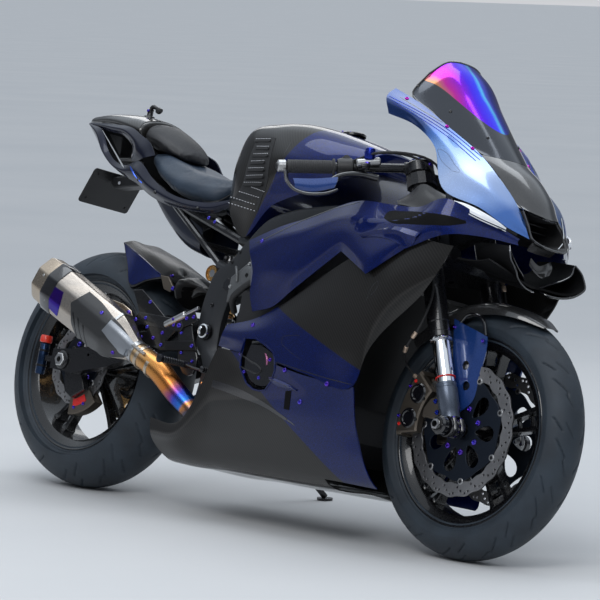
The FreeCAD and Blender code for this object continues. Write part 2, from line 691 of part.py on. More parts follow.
def build_swingarm():
    """Two arms and the bridge between them, on a pivot tube."""
    inner, outer = size("swingarm_gap") / 2, size("swingarm_half_width")
    narrow = size("frame_half_width") - size("spar_thickness") - size("mount_gap")
    half_bridge = 74
    axle_x, axle_z = REAR_AXLE.x, REAR_AXLE.z
    tube_radius = size("pivot_radius")
    slot = Part.makeBox(44, 600, size("axle_radius") * 2, REAR_AXLE - Vector(22, 300, size("axle_radius")))
    pin_hole = rod(PIVOT - Vector(0, 300, 0), PIVOT + Vector(0, 300, 0), PIVOT_PIN + 0.3)
    for side, name in SIDES:
        outline = [(axle_x - 46, axle_z + 26), (axle_x - 46, axle_z - 26), (axle_x + 40, axle_z - 30),
                   (-520, 318), (-360, 372), (-262, 404), (PIVOT.x, PIVOT.z - tube_radius),
                   (PIVOT.x, PIVOT.z + tube_radius), (-262, 474), (-330, 470), (-460, 420), (-590, 366),
                   (axle_x + 40, axle_z + 34)]
        slab = prism_across(outline, 0, side * outer)
        plan = [(PIVOT.x + 5, side * narrow), (-258, side * narrow), (-300, side * outer),
                (axle_x - 60, side * outer), (axle_x - 60, side * inner), (-330, side * inner),
                (-300, side * half_bridge), (PIVOT.x + 5, side * half_bridge)]
        arm = slab.common(prism_upward(plan, 100, 600))
        boss = rod(PIVOT + Vector(0, side * half_bridge, 0), PIVOT + Vector(0, side * narrow, 0), tube_radius, 16)
        spool_hole = Part.makeCylinder(size("spool_bore_radius"), size("spool_bore_depth"), Vector(SPOOL.x, side * outer, SPOOL.z),
                                       Vector(0, -side, 0))
        arm = arm.fuse(boss).cut(slot).cut(pin_hole).cut(spool_hole)
        if side == LEFT:
            arm = arm.cut(chain_tunnel(4))
        feature("swingarm_" + name, solid_of(arm.removeSplitter()))
    bridge = prism_across([(-330, 392), (-330, 452), (-310, BRIDGE_TOP), (-215, BRIDGE_TOP), (-190, 424)],
                          -half_bridge, half_bridge)
    tube = rod(PIVOT - Vector(0, half_bridge, 0), PIVOT + Vector(0, half_bridge, 0), tube_radius)
    reach = size("frame_half_width")
    pin = rod(PIVOT - Vector(0, reach + 8, 0), PIVOT + Vector(0, reach + 8, 0), PIVOT_PIN)
    nuts = [rod(PIVOT + Vector(0, side * reach, 0), PIVOT + Vector(0, side * (reach + 8), 0), 22, 12) for side, _ in SIDES]
    feature("swingarm_bridge", bridge.fuse([tube, pin] + nuts).removeSplitter())


def build_rear_axle():
    reach = size("swingarm_half_width")
    axle = across_rod(REAR_AXLE, reach + 14, size("axle_radius"), BORE_SIDES)
    blocks = [rod(REAR_AXLE + Vector(0, side * reach, 0), REAR_AXLE + Vector(0, side * (reach + 14), 0), 24, 16)
              for side, _ in SIDES]
    feature("rear_axle", axle.fuse(blocks).removeSplitter())


def build_rear_brake():
    """The caliper on its bracket around the axle, and its fluid canister."""
    axle_x, axle_z = REAR_AXLE.x, REAR_AXLE.z
    disc_y = -size("rear_disc_offset")
    slot_half = size("disc_thickness") / 2 + 3
    inner = size("rear_disc_radius") - 36
    body = ring_sector(REAR_AXLE, inner, size("rear_disc_radius") + 26, 270, 318, disc_y - 13, disc_y + 22)
    slot = ring_sector(REAR_AXLE, 0, size("rear_disc_radius") + SLOT_ROOM, 250, 340,
                       disc_y - slot_half, disc_y + slot_half)
    body = body.cut(slot)
    near, far = disc_y - slot_half - 4, -size("swingarm_gap") / 2 + size("mount_gap")
    bracket = prism_across([(axle_x + x, axle_z + z) for x, z in ((-22, 22), (22, 22), (34, 0), (70, -66), (24, -92),
                                                                  (-6, -78), (-22, -22))], near, far)
    hole = across_rod(REAR_AXLE, 300, size("axle_radius") + 0.3, BORE_SIDES)
    body = body.fuse(bracket).cut(hole)
    can_place = Vector(REAR_AXLE.x - 100, -size("swingarm_half_width") + 15, 272)
    can = rod(can_place, can_place + Vector(0, 0, 84), 13)
    cap = rod(can_place + Vector(0, 0, 84), can_place + Vector(0, 0, 104), 16)
    arm_length = 100 - 46 - 6 - size("mount_gap")
    arm = Part.makeBox(arm_length, 8, 16, can_place + Vector(6, -4, 36))
    feature("rear_brake", Part.makeCompound([solid_of(body), can.fuse([cap, arm])]))


def cover_rib(axle, degrees, reach, half_width, drop):
    """A rib of a tyre cover, across the tyre at an angle above +X from the axle."""
    outward = Vector(math.cos(math.radians(degrees)), 0, math.sin(math.radians(degrees)))
    points = []
    for share, fall in ((0, 0), (0.55, 0.12), (0.9, 0.42), (1, 1)):
        points.append((axle + outward * (reach - drop * fall), half_width * share))
    return points


def build_hugger():
    ribs = []
    for degrees, reach, half, drop in ((94, 332, 60, 8), (80, 331, 92, 25), (66, 331, 104, 45), (52, 334, 106, 60),
                                       (40, 348, 104, 40), (29, 372, 84, 10), (20.9, 406, 72, 5)):
        ribs.append((cover_rib(REAR_AXLE, degrees, reach, half, drop), REAR_AXLE))
    seat = BRIDGE_TOP + size("mount_gap")
    foot = prism_across([(-350, 484), (-318, 467), (-290, 467), (-290, seat), (-309, seat), (-350, 476)], -50, 50)
    feature("rear_hugger", solid_of(arch_shape(ribs, 3).fuse(foot)))


def build_hoses():
    """Two brake hoses from the lower clamp, down outside the legs, to the calipers."""
    hoses = []
    gap = size("mount_gap")
    for side, _ in SIDES:
        top = fork_point(size("lower_clamp_start") - gap, side) + STEER_AHEAD * 19 + Vector(0, side * 26, 0)
        turn = math.radians(147)
        reach = size("caliper_reach") * math.cos(math.radians(9)) + gap
        foot = FRONT_AXLE + Vector(reach * math.cos(turn), side * 86, reach * math.sin(turn))
        way = Vector(math.cos(turn), 0, math.sin(turn))
        points = [top, top - STEER_UP * 60, Vector(572, side * 156, 528), Vector(532, side * 150, 462), foot + way * 34, foot]
        hoses.append(bent_tube(points, 3.5, 5))
    feature("brake_hoses", Part.makeCompound(hoses))


def build_shock():
    """A shock between the swingarm's bridge and a cross tube of the subframe."""
    gap = size("mount_gap")
    foot = Vector(-272, 0, BRIDGE_TOP + gap)
    head = Vector(SHOCK_CROSS.x, 0, SHOCK_CROSS.z - SUBFRAME_TUBE - gap)
    way = (head - foot).normalize()
    parts = [rod(foot + way * 4, head - way * 4, 12)]
    for start, length, radius in ((22, 8, 27), (142, 12, 28)):
        parts.append(rod(foot + way * start, foot + way * (start + length), radius))
    pitch = 112 / SPRING_COILS
    for coil in range(SPRING_COILS):
        low = foot + way * (30 + pitch * coil)
        parts.append(rod(low + way * pitch * 0.2, low + way * pitch * 0.8, 23, 10))
    parts.append(rod(foot + way * 30, foot + way * 142, 18, 10))
    for end in (foot + Vector(0, 0, 9), head - Vector(0, 0, 9)):
        parts.append(across_rod(end, 15, 9, 12))
    feature("rear_shock", solid_of(parts[0].fuse(parts[1:]).removeSplitter()))


def build_subframe():
    tubes = []
    for side, _ in SIDES:
        bend = Vector(-420, side * 84, 760)
        upper = [rod(Vector(-150, side * 100, 684), bend, SUBFRAME_TUBE + 2),
                 rod(bend, Vector(-700, side * 50, 860), SUBFRAME_TUBE + 2)]
        lower = rod(Vector(-215, side * 100, 616), Vector(-470, side * 82, 772), SUBFRAME_TUBE)
        tubes.append(lower.fuse(upper))
    for x, z, half in ((-440, 765, 84), (-640, 838, 58), (SHOCK_CROSS.x, SHOCK_CROSS.z, 94)):
        tubes.append(rod(Vector(x, -half, z), Vector(x, half, z), SUBFRAME_TUBE))
    for side, _ in SIDES:
        stay = rod(Vector(-600, side * 55, 824), Vector(-600, side * 160, 824), 8, 10)
        tubes.append(seated(stay, DRAWN["tail_fairing_" + dict(SIDES)[side]], Vector(0, side, 0)))
    hanger = Part.makeBox(16, 90, 110, Vector(-448, -45, 655))
    tubes.append(seated(hanger, DRAWN["undertray"], Vector(0, 0, -1)))
    for x, z in ((-440, 765), (-340, 738)):
        pillar = Part.makeBox(20, 150, 70, Vector(x - 10, -75, z))
        tubes.append(seated(pillar, DRAWN["rider_seat"], Vector(0, 0, 1)))
    block = Part.makeBox(24, 60, 110, Vector(-640, -30, 832))
    tubes.append(seated(block, DRAWN["tail_cover"].fuse(DRAWN["pillion_pad"]), Vector(0, 0, 1)))
    feature("subframe", solid_of(tubes[0].fuse(tubes[1:])))


def build_rearsets():
    """A plate on each frame side with its foot peg and pedal."""
    for side, name in SIDES:
        face = side * (size("frame_half_width") + size("mount_gap"))
        outline = [(-264, 438), (-248, 466), (-214, 452), (-172, 374), (-178, 330), (-215, 330), (-246, 372)]
        plate = prism_across(outline, face, face + side * 8)
        peg = rod(Vector(-205, face + side * 8, 352), Vector(-205, face + side * 100, 352), 9, 12)
        lever = rod(Vector(-205, face + side * 15, 352), Vector(-120, face + side * 15, 345), 6, 8)
        tip = rod(Vector(-120, face + side * 12, 345), Vector(-120, face + side * 34, 345), 8, 10)
        feature("rearset_" + name, plate.fuse([peg, lever, tip]))


def build_radiator():
    """The radiator and the brackets at its sides that carry the side panels."""
    half = size("radiator_half_width")
    parts = [prism_across([(330, 318), (436, 610), (404, 622), (298, 330)], -half, half)]
    for side, name in SIDES:
        for x, z in ((350, 420), (392, 540)):
            bar = rod(Vector(x, side * (half - 6), z), Vector(x, side * 320, z), 8, 10)
            parts.append(seated(bar, DRAWN["side_fairing_" + name], Vector(0, side, 0)))
    feature("radiator", solid_of(parts[0].fuse(parts[1:])))


# Bodywork

def tank_ribs():
    """Half ribs of the tank, each from its top centre by shoulder and flank to its lower edge."""
    wide = size("tank_half_width") / 165.0

    def rib(x, top, shoulder, flank, low):
        return [(x, 0, top), (x, -shoulder[0] * wide, shoulder[1]), (x, -flank[0] * wide, flank[1]),
                (x, -low[0] * wide, low[1]), (x, 0, low[1])]

    return [
        rib(-246, 948, (70, 930), (92, 885), (84, 834)),
        rib(-210, 984, (96, 962), (120, 890), (122, 775)),
        rib(-112, 1001, (122, 974), (150, 885), (140, 692)),
        rib(-20, 1004, (130, 976), (165, 900), (152, 776)),
        rib(70, 992, (128, 966), (165, 905), (152, 812)),
        rib(150, 975, (112, 950), (146, 905), (132, 862)),
        rib(236, 952, (76, 934), (92, 912), (84, 890)),
    ]


def build_tank():
    feature("fuel_tank", mass_loft(tank_ribs()))


def build_tank_grips():
    """A ridged pad on each rear flank of the tank, lying on its surface."""
    gap = size("mount_gap")
    shell = mass_loft(tank_ribs(), gap + 3).cut(mass_loft(tank_ribs(), gap))
    outline = [(-242, 946), (-160, 958), (-132, 900), (-190, 838), (-230, 850)]
    grips = [shell.common(prism_across(outline, side * 70, side * 200)) for side, _ in SIDES]
    feature("tank_grips", Part.makeCompound([solid_of(grip) for grip in grips]))


def build_seat():
    wide = size("seat_half_width") / 142.0

    def rib(x, top, half, bottom, roll):
        return [(x, 0, top), (x, -half * 0.62 * wide, top + roll), (x, -half * wide, (top + bottom) / 2 + 4),
                (x, -half * 0.9 * wide, bottom), (x, 0, bottom)]

    ribs = [rib(-592, 906, 84, 868, 2), (rib(-500, 878, 130, 824, 4)), rib(-420, 856, 142, 792, 2),
            rib(-340, 850, 138, 776, -4), rib(-285, 848, 112, 774, -8), rib(-250.5, 846, 66, 800, -8)]
    feature("rider_seat", mass_loft(ribs))


def build_tail():
    for side, name in SIDES:
        outline = [(-885, 965), (-760, 962), (-655, 952), (-540, 912), (-520, 872), (-596, 866), (-505, 820),
                   (-420, 786), (-340, 770), (-285, 768), (-236, 790), (-222, 768), (-280, 742), (-400, 750),
                   (-506, 774), (-586, 805), (-690, 836), (-735, 858), (-835, 930)]
        hole = [(-800, 942), (-700, 930), (-640, 900), (-640, 850), (-700, 858), (-740, 880)]
        plan = [(-890, side * 70), (-700, side * 104), (-500, side * 138), (-420, side * 150), (-300, side * 142),
                (-215, side * 112), (-215, side * 96), (-300, side * 126), (-420, side * 134), (-500, side * 120),
                (-700, side * 86), (-890, side * 52)]
        column = prism_upward(plan, 700, 1000)
        slab = prism_across(outline, 0, side * 200).cut(prism_across(hole, -10 * side, side * 210))
        feature("tail_fairing_" + name, solid_of(slab.common(column)))
    hump = [
        [(-905, 0, 992), (-905, -36, 984), (-905, -44, 968), (-905, 0, 962)],
        [(-800, 0, 1002), (-800, -58, 990), (-800, -66, 966), (-800, 0, 950)],
        [(-700, 0, 1000), (-700, -72, 984), (-700, -82, 950), (-700, 0, 920)],
        [(-640, 0, 990), (-640, -76, 974), (-640, -84, 935), (-640, 0, 905)],
    ]
    mount = rod(Vector(-722, 0, 996), Vector(-722, 0, 1008), 16)
    post = rod(Vector(-722, 0, 1006), Vector(-722, 0, 1028), 7, 10)
    bar = rod(Vector(-722, 0, 1026), Vector(-682, 0, 1022), 6)
    feature("tail_cover", mass_loft(hump).fuse([mount, post, bar]))
    pad = [
        [(-639.6, 0, 990), (-639.6, -70, 972), (-639.6, -80, 930), (-639.6, 0, 905)],
        [(-590, 0, 972), (-590, -72, 956), (-590, -82, 916), (-590, 0, 908)],
        [(-540, 0, 942), (-540, -64, 930), (-540, -74, 900), (-540, 0, 893)],
        [(-502, 0, 905), (-502, -44, 900), (-502, -50, 886), (-502, 0, 882)],
    ]
    feature("pillion_pad", mass_loft(pad))
    tray = [
        [(-600, -46, 812), (-600, -42, 796), (-600, 0, 788)],
        [(-500, -60, 762), (-500, -54, 720), (-500, 0, 708)],
        [(-420, -66, 738), (-420, -58, 672), (-420, 0, 658)],
        [(-350, -68, 712), (-350, -60, 652), (-350, 0, 642)],
    ]
    feature("undertray", skin([whole_rib(rib) for rib in tray], 3))


def build_plate():
    half = size("plate_width") / 2
    slope = math.radians(27)
    down = Vector(-math.sin(slope), 0, -math.cos(slope))
    out = Vector(-math.cos(slope), 0, math.sin(slope))
    top = Vector(-792, 0, 840)
    corners = [top + Vector(0, -half, 0), top + Vector(0, half, 0), top + Vector(0, half, 0) + down * size("plate_height"),
               top + Vector(0, -half, 0) + down * size("plate_height")]
    plate = Part.Face(Part.makePolygon(corners + corners[:1])).extrude(out * size("plate_thickness"))
    rail = -640 - SUBFRAME_TUBE - size("mount_gap")
    arm = prism_across([(rail, 846), (rail, 826), (-690, 810), (-782, 800), (-808, 812), (-796, 838)], -24, 24)
    feature("plate_holder", plate.fuse(arm))
    lamp = prism_across([(-872, 956), (-800, 949.5), (-770, 940.5), (-790, 925), (-862, 944)], -40, 40)
    feature("tail_light", lamp)


def build_side_fairings():
    wide = size("fairing_half_width") / 240.0
    wall = size("panel_wall")

    def rib(*points):
        return [(x, y * wide, z) for x, y, z in points]

    shoulder = [
        rib((-22, -200, 678), (-2, -212, 650), (26, -214, 600), (30, -212, 545), (51, -212, 502)),
        rib((90, -204, 722), (96, -222, 690), (110, -229, 620), (122, -226, 570), (130, -222, 520)),
        rib((180, -206, 748), (184, -230, 712), (190, -238, 650), (192, -236, 600), (192, -230, 562)),
        rib((340, -202, 802), (340, -236, 756), (342, -246, 712), (345, -246, 690), (346, -240, 671)),
        rib((450, -200, 800), (452, -240, 752), (458, -254, 700), (462, -262, 655), (465, -262, 621)),
        rib((545, -208, 800), (545, -238, 765), (550, -246, 730), (556, -250, 705), (560, -246, 692)),
        rib((641, -222, 823), (650, -232, 795), (655, -232, 772), (660, -228, 755), (664, -214, 742)),
        rib((720, -176, 796), (722, -182, 784), (724, -184, 772), (728, -182, 760), (732, -174, 748)),
        rib((793, -112, 760), (792, -115, 756), (792, -116, 752), (792, -115, 748), (792, -110, 745)),
    ]
    side = [
        rib((-42, -200, 465), (-46, -206, 440), (-58, -200, 408)),
        rib((54, -206, 493), (54, -222, 450), (54, -222, 396)),
        rib((160, -214, 548), (170, -232, 470), (180, -234, 386)),
        rib((300, -222, 640), (306, -244, 500), (312, -240, 366)),
        rib((440, -238, 700), (460, -252, 520), (474, -240, 356)),
        rib((560, -232, 720), (540, -246, 600), (500, -240, 440)),
        rib((676, -204, 716), (650, -212, 650), (612, -214, 590)),
    ]
    belly = [
        rib((-312, -150, 207), (-290, -154, 160), (-255, -128, 118), (-255, 0, 112)),
        rib((-175, -180, 205), (-175, -178, 165), (-175, -140, 118), (-175, 0, 112)),
        rib((-58, -200, 404), (-58, -192, 250), (-58, -150, 124), (-58, 0, 112)),
        rib((110, -222, 390), (110, -206, 250), (110, -155, 124), (110, 0, 112)),
        rib((312, -238, 362), (312, -216, 240), (312, -165, 126), (312, 0, 114)),
        rib((474, -238, 352), (490, -216, 250), (550, -184, 134), (550, 0, 120)),
    ]
    window = [(58, 434), (128, 425), (184, 402), (190, 363), (162, 314), (114, 312), (68, 340), (42, 376)]
    for hand, name in SIDES:
        opening = prism_across(window, 0, hand * 400)
        feature("shoulder_fairing_" + name, skin(shoulder, wall, hand))
        feature("side_fairing_" + name, skin(side, wall, hand).cut(opening))


    pan = skin([whole_rib(rib) for rib in belly], wall)
    pan = pan.cut(prism_across(window, -400, 400))
    arch = Part.makeBox(400, 2 * size("arch_half_width"), 400, Vector(372, -size("arch_half_width"), 0))
    feature("belly_pan", solid_of(pan.cut(arch)))


def build_cowl():
    wide = size("cowl_half_width") / 200.0
    wall = size("panel_wall")

    def rib(*points):
        return [(x, y * wide, z) for x, y, z in points]

    sides = [
        rib((352, -172, 1088), (352, -196, 1064), (371, -198, 1020)),
        rib((440, -152, 1052), (445, -190, 1022), (450, -188, 1000)),
        rib((510, -128, 1010), (530, -182, 965), (530, -188, 955)),
        rib((591, -92, 958), (600, -176, 900), (609, -200, 844)),
        rib((663, -80, 902), (680, -142, 860), (703, -170, 816)),
        rib((715, -70, 854), (730, -104, 826), (760, -122, 782)),
        rib((755, -64, 806), (770, -72, 790), (790, -76, 766)),
    ]
    centre = [
        rib((640, 0, 955), (618, -60, 955), (597, -89.5, 955)),
        rib((705, 0, 915), (690, -48, 910), (669, -76, 898)),
        rib((752, 0, 868), (742, -40, 862), (719, -66, 850)),
        rib((778, 0, 826), (772, -24, 828), (741, -62, 838)),
    ]
    for hand, name in SIDES:
        feature("cowl_side_" + name, skin(sides, wall, hand))
    feature("cowl_nose", skin([whole_rib(rib) for rib in centre], wall))


def build_screen():
    wall = size("screen_wall")
    ribs = [
        [(392, 0, 1192), (388, -50, 1180), (384, -104, 1140)],
        [(440, 0, 1172), (420, -70, 1140), (372, -132, 1088)],
        [(500, 0, 1110), (480, -70, 1075), (450, -128, 1040)],
        [(570, 0, 1030), (552, -62, 1005), (520, -112, 990)],
        [(639.6, 0, 955.6), (617.6, -59, 955.6), (597.6, -86, 955.8)],
    ]
    feature("windscreen", skin([whole_rib(rib) for rib in ribs], wall))


def build_nose():
    mouth = [(640, 860), (772, 812), (800, 762), (786, 752), (640, 745)]
    box = prism_across(mouth, -60, 60)
    hollow = prism_across([(660, 846), (820, 796), (820, 768), (660, 758)], -54, 54)
    feature("nose_duct", box.cut(hollow))
    strip = [[(640, -189, 834.2), (640, -190, 821)], [(703, -169, 815.4), (700, -164, 802)],
             [(756, -124, 783.6), (750, -119, 770)]]
    lamps = []
    for side, name in SIDES:
        below = DRAWN["cowl_side_" + name].copy()
        below.translate(Vector(0, 0, -size("mount_gap")))
        lamps.append(solid_of(skin(strip, 6, side).cut(below)))
    feature("position_lamps", Part.makeCompound(lamps))
    plan = [(640, -150), (760, -140), (828, -118), (812, -60), (771, 0), (812, 60), (828, 118), (760, 140), (640, 150)]
    wing = prism_upward(plan, 640, 700)
    profile = prism_across([(640, 690), (840, 650), (840, 656), (640, 696)], -200, 200)
    cheeks = []
    for side, name in SIDES:
        cheek = prism_across([(758, 664), (786, 658), (786, 774), (764, 786)], side * 70, side * 124)
        around_it = (DRAWN["shoulder_fairing_" + name], lamps[len(cheeks)])
        cheeks.append(seated(cheek, DRAWN["cowl_side_" + name], Vector(0, side, 0), around_it))
    feature("chin_splitter", solid_of(wing.common(profile).fuse(cheeks)))


def build_cockpit():
    """The dash and the stay that carries it, the cowl and the duct from the steering head."""
    dash = prism_across([(462, 1000), (474, 1006), (520, 956), (506, 948)], -75, 75)
    feature("cockpit", dash)
    root = steer_point(500) + STEER_AHEAD * (size("stem_radius") + size("head_bore_play") + size("head_tube_wall") - 3)
    duct = 640 - size("mount_gap")
    outline = [(root.x, root.z - 26), (duct, 800), (duct, 846), (600, 856), (560, 872), (508, 958), (494, 970),
               (520, 850), (root.x, root.z + 24)]
    arm = seated(prism_across(outline, -18, 18), dash, Vector(0, 0, 1))
    bars = []
    for side, name in SIDES:
        way = Vector(0, side, 0)
        bar = rod(Vector(616, 0, 850), Vector(616, side * 260, 850), 8, 10)
        bars.append(seated(bar, DRAWN["cowl_side_" + name], way))
    reach = size("stem_radius") + size("head_bore_play") + size("head_tube_wall")
    head = rod(steer_point(380), steer_point(700), reach + size("mount_gap"))
    feature("fairing_stay", solid_of(arm.fuse(bars).cut(head)))


# Exhaust

SILENCER_FRONT = Vector(-352, -198, 360)
SILENCER_WAY = Vector(-0.905, -0.11, 0.39).normalize()


def silencer_section(along, scale):
    """An eight-sided section of the silencer, square to its own axis."""
    half_height, half_width = size("silencer_height") / 2, size("silencer_width") / 2
    middle = SILENCER_FRONT + SILENCER_WAY * along
    across = SILENCER_WAY.cross(Vector(0, 0, 1)).normalize()
    upward = across.cross(SILENCER_WAY).normalize()
    points = []
    for index in range(8):
        turn = math.pi / 8 + index * math.pi / 4
        points.append(middle + across * (half_width * scale * math.cos(turn))
                      + upward * (half_height * scale * math.sin(turn)))
    return points


def build_exhaust():
    gap = size("mount_gap")
    points = [Vector(60, -70, 146), Vector(-80, -100, 150), Vector(-160, -146, 232), SILENCER_FRONT - SILENCER_WAY * 90,
              SILENCER_FRONT - SILENCER_WAY * gap]
    feature("exhaust_pipe", bent_tube(points, size("pipe_radius"), 8))
    length = size("silencer_length")
    sections = ((0, 0.45), (90, 1.0), (length - 30, 1.05), (length, 0.98))
    can = loops_solid([silencer_section(*place) for place in sections])
    face = -size("frame_half_width") - 2 * size("mount_gap") - 8
    tab = prism_across([(-446, 412), (-436, 448), (-414, 470), (-244, 462), (-236, 434), (-262, 430), (-400, 436)],
                       face - 6, face)
    feature("silencer", can.fuse(tab))
    # The shield stands off the can's outer side, cut to a slanted outline
    shell = [loops_solid([silencer_section(0, 0.45 + grow), silencer_section(90, 1 + grow),
                          silencer_section(240, 1.03 + grow)]) for grow in (0.06, 0.005)]
    outline = [(-575, 480), (-520, 505), (-345, 372), (-400, 330), (-490, 322)]
    shield = shell[0].cut(shell[1]).common(prism_across(outline, -400, SILENCER_FRONT.y - 14))
    feature("silencer_shield", shield)


# Side stand

STAND_LUG = 16
STAND_PIVOT = Vector(-225, size("frame_half_width") + STAND_PLATE + STAND_LUG, 250)
STAND_FOOT = Vector(-188, 396, 396 * math.tan(LEAN))
STAND_DOWN = (STAND_FOOT - STAND_PIVOT).normalize()
STAND_BACK = Vector(-0.985, 0.075, -0.155).normalize()
STAND_EYE = 14


def stand_axis():
    """The skewed hinge line that swings the leg from its parked direction to its stowed one."""
    square = STAND_DOWN.cross(STAND_BACK).normalize()
    return (square + (STAND_DOWN + STAND_BACK).normalize() * 0.5).normalize()


def build_stand():
    upward = Rotation(Vector(1, 0, 0), size("lean_angle")).multVec(Vector(0, 0, 1))
    foot_top = STAND_FOOT + upward * size("stand_foot_thickness")
    foot = rod(STAND_FOOT, foot_top, size("stand_foot_radius"), 16)
    leg = rod(STAND_PIVOT, foot_top + upward * 3, size("stand_leg_radius"))
    half_eye = stand_axis() * STAND_EYE / 2
    eye = Part.makeCylinder(STAND_EYE, STAND_EYE, STAND_PIVOT - half_eye, stand_axis())
    feature("side_stand", solid_of(leg.fuse([foot, eye])))


def check_and_write():
    """Stop on any failed object, then write one file to a piece."""
    document.recompute()
    for item in document.Objects:
        if "Invalid" in item.State or "Error" in item.State:
            raise RuntimeError("%s failed: %s" % (item.Name, item.State))
    faulty = [piece.Label for piece in PIECES
              if piece.Shape.isNull() or not piece.Shape.isValid() or not piece.Shape.Solids]
    if faulty:
        raise RuntimeError("no valid solid in " + ", ".join(faulty))
    os.makedirs("parts", exist_ok=True)
    for piece in PIECES:
        piece.Shape.exportStep("parts/%s.step" % piece.Label)


build_wheels()
build_chain()
build_fork()
build_clamps()
build_front_axle()
build_front_calipers()
build_front_fender()
build_bars()
build_frame()
build_engine()
build_swingarm()
build_rear_axle()
build_rear_brake()
build_hugger()
build_hoses()
build_shock()
build_rearsets()
build_tank()
build_tank_grips()
build_seat()
build_tail()
build_subframe()
build_plate()
build_side_fairings()
build_cowl()
build_screen()
build_nose()
build_cockpit()
build_radiator()
build_exhaust()
build_stand()
check_and_write()
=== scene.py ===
import bpy
import bmesh
import math
from mathutils import Matrix, Vector
from mathutils.bvhtree import BVHTree


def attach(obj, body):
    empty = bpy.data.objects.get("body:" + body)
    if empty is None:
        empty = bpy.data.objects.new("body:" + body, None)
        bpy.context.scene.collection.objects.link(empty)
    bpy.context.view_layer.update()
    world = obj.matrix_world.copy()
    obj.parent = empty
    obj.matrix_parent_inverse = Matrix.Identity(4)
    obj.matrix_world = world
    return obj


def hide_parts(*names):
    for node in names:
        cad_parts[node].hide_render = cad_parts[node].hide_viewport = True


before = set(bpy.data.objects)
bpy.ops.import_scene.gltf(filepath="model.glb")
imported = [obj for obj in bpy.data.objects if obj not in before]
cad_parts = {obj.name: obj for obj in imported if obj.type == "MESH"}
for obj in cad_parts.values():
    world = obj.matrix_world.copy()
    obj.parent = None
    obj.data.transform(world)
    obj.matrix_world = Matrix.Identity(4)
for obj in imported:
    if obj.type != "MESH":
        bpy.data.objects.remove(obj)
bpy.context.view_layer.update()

# Pieces are drawn in millimetres on the upright bike and then leaned onto the stand, as the solids are.
LEAN = math.radians(13)
REST_X, REST_Y = 0.0125, -0.184
REST = Matrix.Translation((REST_X, REST_Y, 0)) @ Matrix.Rotation(-LEAN, 4, "X") @ Matrix.Scale(0.001, 4)
FRONT_AXLE = Vector((687.5, 0, 301.58))
REAR_AXLE = Vector((-697.5, 0, 317.42))
RAKE = math.radians(24)
STEER_UP = Vector((-math.sin(RAKE), 0, math.cos(RAKE)))
STEER_AHEAD = Vector((math.cos(RAKE), 0, math.sin(RAKE)))
HALF_FORK = 105
FRONT_DISC_Y, REAR_DISC_Y = 68, -86
CHAIN_Y, CHAIN_PITCH = 106, 15.875
SIDES = ((-1, "right"), (1, "left"))
ACROSS, OUT_RIGHT, UP = (0, 1, 0), (0, -1, 0), (0, 0, 1)

# ---- Materials

PAINT_BLUE, PAINT_FLAKE = (0.0008, 0.005, 0.050), (0.003, 0.020, 0.20)
FLAKE_SCALE = 1400
CARBON_DARK, CARBON_LIGHT = (0.0095, 0.009, 0.0085), (0.017, 0.0158, 0.0145)
TOW_WIDTH = 0.0024
MASK_EDGE = 0.002
GLOSS_SPREAD = 0.25
CLEAR_COAT = {"Coat_Weight": 1.0, "Coat_IOR": 1.36, "Specular_IOR_Level": 0.08}
SCREEN_HALF_WIDTH = 0.115
SCREEN_FOOT = (1.022, 1.025)


def new_material(name):
    material = bpy.data.materials.new(name)
    material.use_nodes = True
    tree = material.node_tree
    return material, tree, tree.nodes["Principled BSDF"]


def fill(made, **values):
    """Set a node's sockets by name, with _ for a space, to values or to other nodes' outputs."""
    for key, value in values.items():
        socket = made.inputs[key.replace("_", " ")]
        if isinstance(value, bpy.types.NodeSocket):
            made.id_data.links.new(value, socket)
        else:
            socket.default_value = value


def node(tree, kind, **values):
    """A node with its properties and its sockets set by name."""
    made = tree.nodes.new(kind)
    for key, value in values.items():
        if hasattr(made, key):
            setattr(made, key, value)
        else:
            fill(made, **{key: value})
    return made


def combine(tree, operation, *values):
    made = node(tree, "ShaderNodeMath", operation=operation)
    for socket, value in zip(made.inputs, values):
        if isinstance(value, (int, float)):
            socket.default_value = value
        else:
            tree.links.new(value, socket)
    return made.outputs[0]


def vector_math(tree, operation, place, value):
    made = node(tree, "ShaderNodeVectorMath", operation=operation)
    made.inputs[1].default_value = value
    tree.links.new(place, made.inputs[0])
    return made


def position(tree):
    """Place on the upright bike, in metres, from the leaned one."""
    where = node(tree, "ShaderNodeTexCoord").outputs["Object"]
    shift = vector_math(tree, "ADD", where, (-REST_X, -REST_Y, 0))
    upright = node(tree, "ShaderNodeVectorRotate", rotation_type="X_AXIS", Angle=LEAN, Vector=shift.outputs[0])
    return upright.outputs["Vector"]


def noise(tree, place, scale, detail=4, low=0.4, high=0.6, stretch=None):
    """Noise between 0 and 1 with its contrast set by low and high."""
    if stretch:
        place = node(tree, "ShaderNodeMapping", Scale=stretch, Vector=place).outputs["Vector"]
    made = node(tree, "ShaderNodeTexNoise", Scale=scale, Detail=detail, Vector=place)
    return node(tree, "ShaderNodeMapRange", From_Min=low, From_Max=high, Value=made.outputs["Fac"]).outputs["Result"]


def wander(tree, place, scale, detail, reach):
    """Noise that moves a value up and down by half its reach."""
    waves = noise(tree, place, scale, detail, 0.2, 0.8)
    return combine(tree, "MULTIPLY", combine(tree, "SUBTRACT", waves, 0.5), reach)


def blend_value(tree, factor, low, high):
    return node(tree, "ShaderNodeMapRange", To_Min=low, To_Max=high, Value=factor).outputs["Result"]


def mix_colour(tree, factor, first, second):
    mixed = node(tree, "ShaderNodeMix", data_type="RGBA")
    tree.links.new(factor, mixed.inputs[0])
    for socket, value in ((mixed.inputs[6], first), (mixed.inputs[7], second)):
        if isinstance(value, tuple):
            socket.default_value = value + (1,)
        else:
            tree.links.new(value, socket)
    return mixed.outputs[2]


